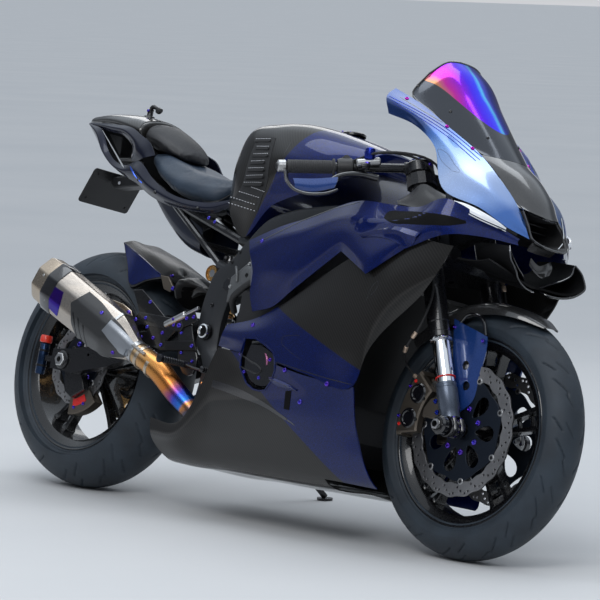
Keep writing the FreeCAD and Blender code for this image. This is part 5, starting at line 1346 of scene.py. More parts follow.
def build_undertail():
    tray = [
        [(-600, -46, 812), (-600, -42, 796), (-600, 0, 788)],
        [(-500, -60, 762), (-500, -54, 720), (-500, 0, 708)],
        [(-420, -66, 738), (-420, -58, 672), (-420, 0, 658)],
        [(-350, -68, 712), (-350, -60, 652), (-350, 0, 642)],
    ]
    shape = Shape("undertail_panel")
    shape.sheet(smooth_grid(map(whole, tray), 6, 8), 3, (0, 0, -1), "navy")
    shape.finish("frame", "black_plastic", ["undertray"])


def rounded_box(half_width, half_height, radius):
    """A rectangle's outline with round corners."""
    points, steps = [], 5
    for cx, cy, start in ((1, 1, 0), (-1, 1, 90), (-1, -1, 180), (1, -1, 270)):
        for step in range(steps + 1):
            turn = math.radians(start + 90 * step / steps)
            points.append((cx * (half_width - radius) + radius * math.cos(turn),
                           cy * (half_height - radius) + radius * math.sin(turn)))
    return points


def build_plate():
    slope = math.radians(27)
    down = Vector((-math.sin(slope), 0, -math.cos(slope)))
    out = Vector((-math.cos(slope), 0, math.sin(slope)))
    height = 104
    middle = Vector((-792, 0, 840)) + down * height / 2 + out * 1.5
    shape = Shape("plate_and_bracket")
    spots = ((-70, 38), (70, 38), (-70, -36), (70, -36))
    holes = [circle(3, 12, 0, spot) for spot in spots]
    shape.plate(rounded_box(88.5, height / 2, 9), holes, 3, middle, out, "plastic", 0.5, up=-down)
    arm = [(-649, 845), (-649, 826), (-690, 811), (-781, 801), (-799, 812), (-794, 830)]
    shape.prism(arm, -23, 23, "plastic", 3)
    across = out.cross(down)
    for u, v in spots:
        shape.bolt(middle + across * u - down * v + out * 1.5, out, 4.5, "black_metal")
    for u in (-14, 14):
        shape.bolt(middle + Vector((0, u, 0)) - down * 36 + out * 1.6, out, 4.2, "thread")
    for side, _ in SIDES:
        shape.bolt((-700, side * 23, 823), (0, side, 0), 4.5, "black_metal")
        shape.bolt((-762, side * 23, 815), (0, side, 0), 4.5, "thread")
    shape.finish("frame", "black_plastic", ["plate_holder"])


# ---- Fork, brakes and controls

def sector(centre, inner, outer, first, last, steps):
    """A side-view outline between two radii and two angles above +X."""
    turns = [math.radians(first + (last - first) * i / steps) for i in range(steps + 1)]
    return ([(centre.x + outer * math.cos(t), centre.z + outer * math.sin(t)) for t in turns]
            + [(centre.x + inner * math.cos(t), centre.z + inner * math.sin(t)) for t in turns[::-1]])


def build_fork():
    shape = Shape("fork_assembly")
    for side, _ in SIDES:
        foot = fork_point(0, side)
        shape.lathe(foot, [(21, 222), (27, 224), (27, 236), (25.4, 238), (25.4, 262), (27, 264), (27, 676), (24, 679)],
                    40, "black_metal", STEER_UP, closed=False)
        shape.lathe(foot, [(22, 679), (22, 683), (16, 684.5), (15, 684.5)], 12, "blue_metal", STEER_UP, closed=False)
        shape.lathe(foot, [(21.6, 214), (25, 214.5), (28, 217), (28.5, 219.5), (27, 222), (21.6, 222)], 40, "chrome",
                    STEER_UP)
        shape.lathe(foot, [(12, 100), (21.4, 100), (21.4, 226), (12, 226)], 48, "chrome", STEER_UP, closed=False)
        shape.lathe(foot, [(23.1 + 1.7 * math.cos(t * math.pi / 4), 124 + 1.9 * math.sin(t * math.pi / 4))
                           for t in range(8)], 40, "red", STEER_UP)
        shape.lathe(foot, [(23, 110), (24.5, 109), (24.5, 104), (23.6, 103), (23.6, 98), (25.5, 96), (25.5, 46),
                           (23.5, 42), (23.5, 20)], 40, "boot", STEER_UP, closed=False)
        shape.lathe(foot, [(13, -24), (24, -24), (25.4, -22), (25.4, 22), (24, 24), (13, 24)], 40, "gloss_black",
                    ACROSS)
        for shift in (-12, 12):
            place = foot + STEER_AHEAD * 21 + STEER_UP * 3 + Vector((0, shift, 0))
            shape.rod(place - STEER_UP * 19, place + STEER_UP * 13, 7, "gloss_black", 16, 2)
            shape.bolt(place + STEER_UP * 13, STEER_UP, 4.6, "violet")
        block = [foot + STEER_AHEAD * a + STEER_UP * u for a, u in ((-6, 16), (18, 16), (18, -14), (6, -22),
                 (-10, -22))]
        shape.prism(side_view(block), side * 85, side * 125, "gloss_black", 3)
    shape.finish("fork", "chrome_tube", ["fork_legs"])
    shape = Shape("front_axle_shaft")
    shape.lathe(FRONT_AXLE, [(8.3, -160), (12.5, -160), (12.5, 160), (8.3, 160)], 40, "bare_metal", ACROSS)
    for side, _ in SIDES:
        shape.lathe(FRONT_AXLE, [(12.6, side * 135.4), (21, side * 135.4), (23, side * 138), (23, side * 150),
                                 (19, side * 155), (15.5, side * 155.5), (14.5, side * 152), (12.6, side * 152)], 40,
                    "gloss_black", ACROSS)
        shape.lathe(FRONT_AXLE, [(8.4, side * 150), (12.4, side * 150), (13.4, side * 158), (13, side * 164),
                                 (8.4, side * 165)], 6, "steel", ACROSS)
    shape.finish("fork", "bare_metal", ["front_axle"])


def build_calipers():
    shape = Shape("front_brake_calipers")
    for side, _ in SIDES:
        disc = side * FRONT_DISC_Y
        for near, far in ((5.6, 31), (-25, -5.6)):
            shape.prism(sector(FRONT_AXLE, 122, 188, 140, 190, 14), disc + side * near, disc + side * far, "bronze", 4)
        for first, last in ((139, 146), (161, 169), (184, 191)):
            shape.prism(sector(FRONT_AXLE, 174, 189.5, first, last, 4), disc - side * 20, disc + side * 27, "bronze", 3)
        for turn in (math.radians(153), math.radians(177)):
            shape.lathe(FRONT_AXLE + polar(152, turn, disc + side * 29), [(25, -4), (25, 2), (22, 5.5), (17, 6),
                        (15, 3.5), (0.5, 3)], 36, "gloss_black", (0, side, 0), closed=False)
            for reach in (128, 184):
                shape.bolt(FRONT_AXLE + polar(reach, turn, disc + side * 31), (0, side, 0), 5, "violet" if reach > 150
                           else "black_metal")
        for turn in (147, 183):
            shape.bolt(FRONT_AXLE + polar(178, math.radians(turn), disc + side * 31), (0, side, 0), 4.5, "red")
        arm = [fork_point(along) - STEER_AHEAD * behind for behind, along in
               ((26.9, 40), (26.9, 92), (60, 92), (84, 76), (92, 58), (60, 42))]
        shape.prism(side_view(arm), disc + side * 20, disc + side * 33, "bronze", 3)
        for behind, along in ((42, 80), (42, 52)):
            spot = fork_point(along) - STEER_AHEAD * behind + Vector((0, disc + side * 33, 0))
            shape.bolt(spot, (0, side, 0), 6.5, "blue_metal")
        pads = sector(FRONT_AXLE, 132, 172, 152, 178, 8)
        for out in (side, -side):
            shape.prism(pads, disc + out * 3.4, disc + out * 5.4, "gold", 0.4)
    shape.finish("fork", "steel", ["front_calipers"])
    shape = Shape("front_brake_lines")
    for side, _ in SIDES:
        top = fork_point(399.7, side) + STEER_AHEAD * 19 + Vector((0, side * 26, 0))
        turn = math.radians(147)
        reach = 190 * math.cos(math.radians(9)) + 0.3
        foot, way = FRONT_AXLE + polar(reach, turn, side * 86), polar(1, turn)
        line = [top, top - STEER_UP * 60, (572, side * 155, 528), (534, side * 150, 466), foot + way * 40,
                foot + way * 6]
        shape.tube(line, 3.3, "rubber", steps=10, sides=12)
        fine = spline(line, 10)
        for index in (24, 30):
            run = (fine[index + 1] - fine[index - 1]).normalized()
            shape.rod(fine[index] - run * 9, fine[index] + run * 9, 5.2, "brass", 12, 1.5)
        shape.rod(foot + way, foot + way * 16, 5.5, "brass", 12, 1.5)
        shape.rod(top + STEER_UP * 0.2, top - STEER_UP * 16, 5.5, "brass", 12, 1.5)
    shape.finish("fork", "rubber", ["brake_hoses"])


def arch_grid(axle, ribs, across, along):
    """Outer surface of a tyre cover, from (degrees, reach, half width, drop) ribs."""
    rows = []
    for degrees, reach, half, drop in ribs:
        line = [axle + polar(reach - drop * fall, math.radians(degrees), -half * share)
                for share, fall in ((0, 0), (0.55, 0.12), (0.9, 0.42), (1, 1))]
        rows.append(whole([tuple(point) for point in line]))
    return smooth_grid(rows, across, along)


def build_fender():
    tyre = FRONT_AXLE.z
    grid = arch_grid(FRONT_AXLE, ((60, tyre + 12, 26, 6), (72, tyre + 14, 62, 22), (92, tyre + 14, 72, 40),
                                  (115, tyre + 14, 76, 58), (138, tyre + 16, 70, 50)), 6, 10)
    shape = Shape("front_mudguard")
    shape.sheet(grid, 3, UP, "nose_carbon")
    for side, name in SIDES:
        rows = [[(602, -77.6, 560), (650, -78, 546), (684, -78, 537), (712, -71, 528)],
                [(613, -77.6, 505), (650, -78, 505), (690, -78, 503), (716, -70, 500)],
                [(629, -77.6, 440), (655, -78, 440), (685, -78, 438), (710, -70, 436)],
                [(645, -77.6, 386), (660, -78, 382), (678, -78, 377), (704, -71, 372)],
                [(655, -77.6, 352), (660, -78, 349), (666, -78, 345), (672, -74, 340)]]
        plate = mirrored_rows(smooth_grid(rows, 6, 8, rib_corners=(2,)), side)
        guard = Shape("fork_guard_" + name)
        guard.sheet(plate, 3.6, (0, side, 0), "guard_blue")
        cutter = Shape("cutter")
        for u, v in ((465.5, 365.3), (465.5, 385.7)):
            spot = at_side(u, v, -78)
            cutter.rod((spot.x, side * 60, spot.z), (spot.x, side * 95, spot.z), 11, "plastic", 24)
        guard.finish("fork", "blue_paint", cut=cutter)
        for x, z in ((610, 540), (708, 516)):
            shape.bolt((x, side * 79, z), (0, side, 0), 5, "violet")
        brace = [(620, side * 74, 548), (640, side * 74, 572), (690, side * 72, 566), (706, side * 70, 530)]
        shape.tube(brace, 4, "gloss_black", sides=10)
    shape.finish("fork", "blue_paint", ["front_fender"])


def bar_axis(side):
    """The clamp's place on the fork leg, the bar's root and tip, and the bar's direction."""
    leg = fork_point(646, side)
    root = leg + STEER_UP * 15 - Vector((31, 0, 0))
    tip = Vector((205, side * 345, 848))
    return leg, root, tip, (tip - root).normalized()


def build_controls():
    bars, grips, controls = Shape("clip_on_bars"), Shape("hand_grips"), Shape("levers_and_switches")
    for side, _ in SIDES:
        leg, root, tip, way = bar_axis(side)
        bars.lathe(leg, [(27.2, 0.5), (33, 0.5), (35, 2.5), (35, 25.5), (33, 27.5), (27.2, 27.5)], 40, "black_metal",
                   STEER_UP)
        bars.rod(root, tip, 11, "black_metal", 24)
        bars.rod(root - way * 2, root + way * 16, 15, "black_metal", 24, 3)
        bars.bolt(leg + STEER_AHEAD * 34 + STEER_UP * 14, STEER_AHEAD, 5.5, "violet")
        start = tip - way * 124
        ribs = [(11.6, 2), (20, 2), (20.5, 4), (20, 7), (16, 8)]
        for index in range(22):
            base = 12 + index * 4.4
            ribs += [(15.7, base), (16.5, base + 1), (16.5, base + 3), (15.7, base + 4)]
        ribs += [(16, 110), (16.3, 112), (16, 117), (11.6, 117)]
        grips.lathe(start, ribs, 32, "grip", way)
        grips.rod(tip - way * 5, tip + way * 17, 15.5, "bare_metal", 32, 3)
        grips.rod(tip + way * 15, tip + way * 20, 9, "black_metal", 24, 1)
        pod = start - way * 46
        ahead = way.cross(Vector(UP)).normalized() * side
        controls.lathe(pod, [(11.6, 3), (18, 3), (22, 7), (22, 34), (19, 42), (11.6, 42)], 32, "plastic", way)
        controls.tube([pod + way * 24 - ahead * 6, pod + way * 24 - ahead * 16 + Vector((0, 0, 13)),
                       pod + way * 22 + Vector((0, 0, 23))], [12, 12, 9], "plastic", sides=14)
        controls.rod(pod + way * 14 - ahead * 19, pod + way * 14 - ahead * 25, 5, "red" if side < 0 else "plastic", 16)
        controls.rod(pod + way * 30 - ahead * 18, pod + way * 30 - ahead * 24, 4, "orange", 16)
        hinge = pod - way * 26 + ahead * 34
        controls.rod(pod - way * 26, pod - way * 4, 19, "black_metal", 32, 3)
        controls.tube([pod - way * 15 + ahead * 10, hinge + way * 4, hinge + way * 12], [11, 9.5, 9], "black_metal",
                      sides=14)
        reach = at_points(((378, 178.5, -182), (366, 175.5, -206), (352, 174.5, -236), (338, 177, -268),
                           (328, 183, -294), (320, 186.5, -314)), side)
        controls.tube(reach, [6.5, 6, 6, 6, 5.5, 7], "gloss_black", steps=8, sides=14, flat=1.3)
        controls.bolt(hinge + Vector((0, 0, 8)), UP, 6.5, "violet")
        controls.rod(hinge - Vector((0, 0, 9)), hinge + Vector((0, 0, 8)), 7.5, "black_metal", 20, 1.5)
        barrel = pod - way * 18 + ahead * 22
        controls.rod(barrel + way * 18 + Vector((0, 0, 8)), barrel - way * 40 + Vector((0, 0, 14)), 10.5, "bare_metal",
                     28, 3)
        cup = barrel - way * 12 + Vector((0, 0, 18))
        controls.lathe(cup, [(0.5, 0), (13, 0), (14, 2), (14, 20), (12.5, 21), (12.5, 26), (11, 27.5), (0.5, 28)], 28,
                       "blue_metal", (-0.1, 0, 1), closed=False)
        rim = at_points(((286, 171, -356), (287, 180, -354), (293, 188, -346), (303, 192.5, -336), (318, 194, -322),
                         (330, 192.5, -312), (338, 189.5, -302)), side)
        controls.tube(rim, [8, 8, 7.5, 7, 7, 6.5, 5], "gloss_black", steps=8, sides=14, flat=0.6)
        upper = at_points(((293, 178, -346), (312, 178.5, -328), (338, 177, -304)), side)
        lower = at_points(((295, 189, -344), (314, 191.5, -326), (334, 188, -308)), side)
        rows = smooth_grid([[a, a.lerp(b, 0.5) + Vector((4, side * 2, 0)), b] for a, b in zip(upper, lower)], 4, 6)
        controls.sheet(rows, 3, (0.3, side, 0), "guard_blue")
        for shift, sweep in ((0, 0), (10, 14)):
            controls.tube([pod + way * 8 + Vector((0, 0, 10 + shift / 2)),
                           pod - way * 50 + ahead * (30 + sweep) + Vector((0, 0, 34)),
                           (458 + sweep / 2, side * (96 - shift), 900 + shift), (452, side * (78 - shift), 858)], 3.0,
                          "rubber", steps=8, sides=10)
    bars.finish("fork", "black_metal", ["handlebars"])
    grips.finish("fork", "rubber", ["grips"])
    controls.finish("fork", "black_plastic", ["hand_controls"])


# ---- Nose details and cockpit

def build_inner_panels():
    """Dark panels between the shoulders and the cockpit."""
    for side, name in SIDES:
        shape = Shape("inner_panel_" + name)
        upper = on_plane(((397, 201.5), (409, 194), (422, 184), (437, 190.5), (452, 198.5)), -150)
        lower = on_plane(((398, 204), (410, 206.5), (424, 209.5), (440, 208), (453, 201)), -186)
        rows = [[a, a.lerp(b, 0.5) + Vector((0, -3, 4)), b] for a, b in zip(upper, lower)]
        shape.sheet(mirrored_rows(smooth_grid(rows, 5, 6), side), 3, (0, side, 1), "satin_carbon")
        shape.finish("frame", "carbon")


def build_intake():
    shape = Shape("nose_intake")
    front = [(738, -60, 834), (772, -24, 823), (777, 0, 821), (772, 24, 823), (738, 60, 834), (768, 66, 800),
             (788, 64, 768), (800, 40, 757), (806, 0, 754), (800, -40, 757), (788, -64, 768), (768, -66, 800)]
    front = [Vector(p) for p in front]
    middle = sum(front, Vector()) / len(front)
    inner = [middle + (p - middle) * 0.90 - Vector((4, 0, 0)) for p in front]
    deep = [Vector((650, p.y * 0.8, 800 + (p.z - 795) * 0.8)) for p in inner]
    back = [Vector((644, p.y * 0.9, 800 + (p.z - 795) * 0.95)) for p in front]
    shape.loops([front, inner, deep, back], "plastic", closed=True)
    shape.loops([[p + Vector((1, 0, 0)) for p in deep], [p + Vector((4, 0, 0)) for p in deep]], "plastic")
    shape.tube(front[4:] + front[:1], 2.6, "gloss_black", steps=4, sides=8)
    edge = at_points(((561.3, 218.4, 58), (563, 230, 62), (563.3, 242, 62), (557.5, 250.5, 44)))
    shape.tube(edge, 2.2, "chrome", steps=6, sides=8)
    lip = [at_points(row) for row in (((533, 243.5, -48), (530, 247, -50), (527.5, 251, -50)),
                                                  ((545, 246.5, 0), (541, 251, 0), (538, 255, 0)),
                                                  ((557, 252, 44), (553, 255.5, 46), (549.5, 258, 48)))]
    shape.sheet(smooth_grid(lip, 5, 8), 3, (1, 0, -0.4), "nose_carbon")
    scoop = [at_points(row) for row in (((531, 258, -22), (530, 264, -22), (533, 269, -22)),
                                                    ((539, 266, 0), (537, 273, 0), (541, 277, 0)),
                                                    ((551, 262, 30), (552, 270, 30), (549, 276, 28)))]
    shape.sheet(smooth_grid(scoop, 6, 8), 3, (1, 0, -0.4), "nose_carbon")
    for z in (775, 795, 812):
        shape.tube([(720, -50, z), (728, 0, z - 1), (720, 50, z)], 1.6, "plastic", sides=8)
    shape.finish("frame", "black_plastic", ["nose_duct"])


def build_lamps():
    shape = Shape("running_lamps")
    upper = at_points(((454, 200.3, -188), (468, 204.5, -177), (483, 212, -158), (496, 220, -134), (506.5, 228, -106)))
    lower = at_points(((454.3, 202, -191), (466, 210.5, -181), (481, 218.5, -162), (494.5, 224.5, -137),
                       (506, 229.6, -108)))
    over = at_points(((446, 192.5, -180), (466, 201.5, -166), (486, 211, -142), (504, 222.5, -108), (518, 234, -76)))
    under = at_points(((446, 200, -188), (464, 208, -172), (481, 216.5, -151), (499, 227.5, -114), (516, 238.5, -76)))
    for side, _ in SIDES:
        rows = []
        for above, below in zip(upper, lower):
            rows.append([above, above.lerp(below, 0.5) + Vector((0.6, -0.8, 1.2)) * 1.5, below])
        grid = mirrored_rows(smooth_grid(rows, 5, 8), side)
        shape.sheet(grid, 4, (0.3, side, 1), "lamp")
        shape.tube([row[-1] - Vector((0, 0, 4)) for row in grid][::4], 1.6, "chrome", steps=2, sides=8)
        rows = [[above - Vector((5, -4, 0)), below - Vector((5, -4, 0))] for above, below in zip(over, under)]
        shape.sheet(mirrored_rows(smooth_grid(rows, 3, 6), side), 3, (0.3, side, 1), "shell_black")
    shape.finish("frame", "lamp", ["position_lamps"])


def build_chin_wing():
    shape = Shape("chin_wing")
    rows = []
    for y, lead in ((-150, 745), (-140, 770), (-118, 798), (-95, 802), (-60, 796), (-25, 780), (0, 771), (25, 780),
                    (60, 796), (95, 802), (118, 798), (140, 770), (150, 745)):
        curl = 20 * (abs(y) / 130) ** 3
        line = []
        for share, lift in ((0, 0), (0.35, -3), (0.75, -2), (1, 3)):
            x = 644 + (lead - 644) * share
            line.append((x, y, 690 - (x - 640) * 0.2 + curl * (0.3 + 0.7 * share) + lift))
        rows.append(line)
    shape.sheet(smooth_grid(rows, 6, 4), 5, UP, "void_black")
    for side, _ in SIDES:
        lip = [(771, 118, 740), (786, 128, 724), (798, 131, 704), (810, 124, 686), (806, 108, 669), (797, 64, 652),
               (782, 22, 652), (757, 26, 664), (768, 52, 682), (775, 82, 697), (777, 106, 716), (772, 114, 731)]
        lip = [Vector((x, side * y, z)) for x, y, z in lip]
        middle = sum(lip, Vector()) / len(lip)
        rings = []
        for back, scale in ((0, 1.0), (-1, 1.02), (-70, 0.96), (-120, 0.8), (-120, 0.76), (-70, 0.92), (0, 0.95)):
            rings.append([middle + (p - middle) * scale + Vector((back, 0, -back * 0.08)) for p in lip])
        shape.loops(rings, "void_black", closed=True)
        shape.tube(lip + lip[:1], 2.4, "gloss_black", steps=4, sides=8, corners=(0,))
    shape.finish("frame", "black_plastic", ["chin_splitter"])


def build_dash():
    shape = Shape("dash_unit")
    face = Vector((-0.86, 0, 0.5)).normalized()
    centre = Vector((501, 0, 988))
    shape.plate(rounded_box(62, 24, 9), [], 26, centre + Vector((8, 0, -6)), face, "plastic", 2.5, up=(0.5, 0, 0.86))
    shape.plate(rounded_box(55, 18, 5), [], 3, centre - Vector((4.6, 0, -0.6)), face, "display", 0.6, up=(0.5, 0, 0.86))
    for y in (-36, 36):
        shape.rod(centre + Vector((16, y, -16)), centre + Vector((46, y, -64)), 6, "plastic", 16)
    shape.finish("frame", "black_plastic", ["cockpit"])


# ---- Exhaust

SILENCER_FRONT = Vector((-352, -198, 360))
SILENCER_WAY = Vector((-0.905, -0.11, 0.39)).normalized()
SILENCER_ACROSS = SILENCER_WAY.cross(Vector(UP)).normalized()
SILENCER_UP = SILENCER_ACROSS.cross(SILENCER_WAY).normalized()


def can_ring(along, scale):
    """A section of the silencer with its eight corners softened."""
    soft = 0.16
    middle = SILENCER_FRONT + SILENCER_WAY * along
    corners = []
    for index in range(8):
        turn = math.pi / 8 + index * math.pi / 4
        across, up = 48 * scale * math.cos(turn), 66 * scale * math.sin(turn)
        corners.append(middle + SILENCER_ACROSS * across + SILENCER_UP * up)
    ring = []
    for index, corner in enumerate(corners):
        before, after = corners[index - 1], corners[(index + 1) % 8]
        for share in (1, 0.35):
            ring.append(corner.lerp(before, soft * share))
        ring[-1] = ring[-1].lerp(corner.lerp(after, soft * 0.35), 0.25)
        ring.append(corner.lerp(after, soft * 0.35).lerp(corner.lerp(before, soft * 0.35), 0.25))
        ring.append(corner.lerp(after, soft))
    return ring


def build_silencer():
    shape = Shape("silencer_can")
    places = [(0, 0.45), (8, 0.47), (30, 0.60), (60, 0.82), (90, 1.0), (94, 1.005), (200, 1.02), (318, 1.04)]
    shape.loops([can_ring(*place) for place in places], "titanium")
    shape.loops([can_ring(a, s) for a, s in ((88, 1.0), (88, 1.025), (96, 1.03), (96, 1.0))], "bare_metal", closed=True)
    shape.loops([can_ring(a, s) for a, s in ((314, 1.0), (314, 1.06), (318, 1.08), (350, 1.08), (354, 1.06),
                                             (354, 1.0))], "gloss_black", closed=True)
    shape.loops([can_ring(a, s) for a, s in ((352, 0.99), (352, 1.02), (390, 0.99), (399, 0.94), (397, 0.88),
                                             (362, 0.84))], "champagne", closed=True)
    shape.loops([can_ring(a, s) for a, s in ((362, 0.96), (364, 0.96))], "shell_black")
    outlet = SILENCER_FRONT + SILENCER_WAY * 362
    shape.lathe(outlet, [(24, 0), (27, 3), (27, 22), (25.5, 24), (23.5, 22), (23, 0)], 40, "champagne", SILENCER_WAY)
    shape.lathe(outlet - SILENCER_WAY * 8, [(0.5, 0), (23, 0), (23, 8), (0.5, 8)], 32, "plastic", SILENCER_WAY,
                closed=False)
    shape.lathe(SILENCER_FRONT, [(26, -6), (31, -4), (31, 10), (26, 12)], 36, "bare_metal", SILENCER_WAY)
    carrier = Carrier([ring + ring[:1] for ring in (can_ring(*place) for place in places + [(385, 1.055)])])
    patch(shape, carrier, [(53, 285), (58, 288.5), (63.5, 292)], [(46.5, 305), (52, 311), (57, 316)], 1.0,
          "violet_patch")
    for u, v in ((45, 300), (70, 268), (44, 275)):
        bolt_on(shape, carrier.seen(u, v), 3.6, "bare_metal")
    face = -161
    tab = [(-446, 414), (-436, 446), (-414, 468), (-300, 464), (-250, 460), (-240, 446), (-246, 434), (-262, 431),
           (-400, 436)]
    shape.prism(tab, face - 5, face, "black_metal", 1)
    brace = on_plane(((103.7, 301.3), (114, 300), (123.8, 304), (131.9, 310.7), (133, 316), (127.8, 319),
                                              (119.8, 319), (112, 313)), -176)
    shape.prism(side_view(brace), -179, -174, "champagne", 1)
    hold = at_side(128.5, 312.7, -179)
    shape.bolt(hold, OUT_RIGHT, 7, "violet")
    shape.rod((hold.x, -174, hold.z), (-440, face, 440), 6, "black_metal", 14)
    for x, z in ((-254, 447), (-424, 446)):
        shape.bolt((x, face - 5, z), OUT_RIGHT, 7, "violet")
    shape.finish("frame", "titanium", ["silencer"], angle=28)
    shape = Shape("heat_shield")
    patch(shape, carrier, [(90.4, 293.3), (103.7, 305.4), (113.1, 317.4), (123.8, 329.5), (135, 348)],
          [(72.5, 303), (73.5, 323), (84, 343), (97, 352), (131, 357)], 7, "shield_carbon", across=16)
    for line in (((74.6, 312), (76, 323), (78.6, 334.8)), ((79.6, 317.4), (81, 329), (83.9, 340)),
                 ((84.6, 324.8), (86.3, 336), (89, 346.2))):
        strip(shape, lifted(carrier.trail(line), 6.6), 5, 1.0, "shell_black")
    patch(shape, carrier, [(112, 322), (122, 331), (130, 339), (135.5, 346)], [(104, 331), (112, 342), (121, 351),
          (131, 356)], 10, "satin_silver", across=8)
    for u, v in ((102.4, 314.5), (78, 341), (114.2, 351)):
        bolt_on(shape, carrier.seen(u, v), 5.5, "violet", lift=6.5)
    shape.finish("frame", "carbon", ["silencer_shield"])


def build_pipe():
    shape = Shape("mid_pipe")
    line = [Vector((60, -70, 146)), Vector((-80, -100, 150)), Vector((-160, -146, 232)),
            SILENCER_FRONT - SILENCER_WAY * 90, SILENCER_FRONT - SILENCER_WAY]
    soft = [line[0], line[1], line[1].lerp(line[2], 0.5) + Vector((4, -6, -10)), line[2] + Vector((-6, -2, 8)),
            line[2].lerp(line[3], 0.5), line[3], line[4]]
    shape.tube(soft, [24.5, 24.5, 25, 27, 29.5, 30, 29], "heat_tint", steps=8, sides=32)
    for share in (0.25, 0.75):
        place = line[3].lerp(line[4], share)
        shape.lathe(place, [(29.4, -6), (31.6, -5), (31.6, 5), (29.4, 6)], 36, "champagne", SILENCER_WAY)
    for turn in (0.6, 2.6):
        out = SILENCER_ACROSS * math.cos(turn) + SILENCER_UP * math.sin(turn)
        start, end = line[4] - SILENCER_WAY * 46 + out * 35, line[4] + SILENCER_WAY * 6 + out * 35
        coil = [start.lerp(end, i / 40) + SILENCER_ACROSS * 4 * math.cos(i * 1.57)
                + SILENCER_UP * 4 * math.sin(i * 1.57) for i in range(41)]
        shape.tube(coil, 1.3, "bare_metal", steps=2, sides=6)
    shape.finish("frame", "titanium", ["exhaust_pipe"])


# ---- Rear end, frame and engine

def build_hugger():
    crest = on_plane(((145, 244.5), (152, 247.5), (162, 252), (175, 260), (187, 269.5), (198, 278), (206, 289)), 0)
    crease = at_points(((123.8, 242.4, -84), (134, 250.5, -92), (143, 258, -98), (152.5, 267, -100),
                                               (162, 275.9, -102), (177, 283, -88), (193, 290, -70)))
    border = at_points(((124.6, 247, -86), (127, 265, -102), (130.5, 286.6, -106), (146, 281, -105),
                                               (161, 278.5, -103), (175, 289, -90), (191, 297, -72)))
    rows = []
    for top, fold, low in zip(crest, crease, border):
        shoulder = top.lerp(fold, 0.55) + Vector((0, 0, 7))
        rows.append(whole([tuple(top), tuple(shoulder), tuple(fold), tuple(low)]))
    grid = smooth_grid(rows, 6, 8, rib_corners=(1, 5))
    shape = Shape("rear_mudguard")
    shape.sheet(grid, 3, UP, "satin_carbon")
    shape.sheet([[Vector((p[0], p[1] * 0.955, p[2] - 4)) for p in row] for row in grid], 1.5, UP, "void_black")
    carrier = Carrier(grid)
    hanger = on_plane(((161, 275), (169, 277), (173, 286), (170, 292), (164, 289)), -102)
    shape.prism(side_view(hanger), -104, -97, "bronze", 1)
    shape.bolt((hanger[2].x + 4, -104, hanger[3].z + 10), OUT_RIGHT, 6, "violet")
    for side, _ in SIDES:
        patch(shape, carrier, [(125, 244.4), (134, 251.7), (143, 259.3), (152.5, 268), (160.5, 275.5)],
              [(125.4, 247), (128, 265), (131.3, 284.6), (146, 279.8), (160.8, 276.6)], 1.2, "paint", side, across=6)
        strip(shape, carrier.trail([(124.5, 243), (143, 258.4), (162, 276.2)]), 2.4, 1.6, "paint", side)
        bolt_on(shape, carrier.seen(172, 276), 5.5, "violet", side)
    foot = [(-350, 484), (-318, 467), (-290, 467), (-290, 462.3), (-309, 462.3), (-350, 476)]
    shape.prism(foot, -50, 50, "carbon", 1)
    shape.finish("frame", "carbon", ["rear_hugger"])


def build_shock():
    shape = Shape("shock_and_spring")
    foot, head = Vector((-272, 0, 462.3)), Vector((-300, 0, 658.7))
    way = (head - foot).normalized()
    shape.rod(foot + way * 4, head - way * 4, 11.5, "bare_metal", 24)
    shape.rod(foot + way * 100, head - way * 18, 18, "black_metal", 28, 2)
    side = way.cross(Vector(ACROSS))
    turns, count = 6, 96
    coil = []
    for index in range(count + 1):
        turn = 2 * math.pi * turns * index / count
        coil.append(foot + way * (33 + 106 * index / count) + side * 22 * math.cos(turn)
                    + Vector((0, 22 * math.sin(turn), 0)))
    shape.tube(coil, 4.6, "gold", steps=2, sides=10)
    for start, radius, length, material in ((22, 27, 8, "bare_metal"), (142, 28, 12, "gold")):
        base = foot + way * start
        shape.lathe(base, [(12, 0), (radius - 2, 0), (radius, 2), (radius, length - 2), (radius - 2, length),
                           (12, length)], 36, material, way, closed=False)
        for index in range(12):
            a = 2 * math.pi * index / 12
            spot = base + way * length / 2 + (side * math.cos(a) + Vector(ACROSS) * math.sin(a)) * radius
            shape.rod(spot - way * 3, spot + way * 3, 2.2, "black_metal", 6, 0.4)
    shape.rod(head - way * 40 + Vector((26, -16, 4)), head - way * 96 + Vector((30, -16, 4)), 17, "bare_metal", 28, 3)
    shape.tube([head - way * 40 + Vector((26, -16, 4)), head - way * 26 + Vector((14, -8, 0)), head - way * 22], 6,
               "black_metal")
    knob = at_side(211, 273, -62)
    for side in (-1, 1):
        spot = Vector((knob.x, side * 40, knob.z))
        shape.lathe(spot, [(10, 0), (20, 0), (22, 2), (22, 19), (20.5, 22), (18, 22), (17, 19), (10, 19)], 36, "gold",
                    (0, side, 0))
        shape.rod(spot, spot + Vector((0, side * 18, 0)), 16.5, "satin_silver", 28, 1)
    shape.rod((knob.x, -42, knob.z), (knob.x, 42, knob.z), 7, "black_metal", 16)
    for end in (foot + Vector((0, 0, 9)), head - Vector((0, 0, 9))):
        shape.lathe(end, [(4, -15), (8.9, -15), (8.9, 15), (4, 15)], 28, "black_metal", ACROSS)
        shape.rod(end - Vector((0, 17, 0)), end + Vector((0, 17, 0)), 4.4, "steel", 12, 1)
    shape.finish("frame", "bare_metal", ["rear_shock"])


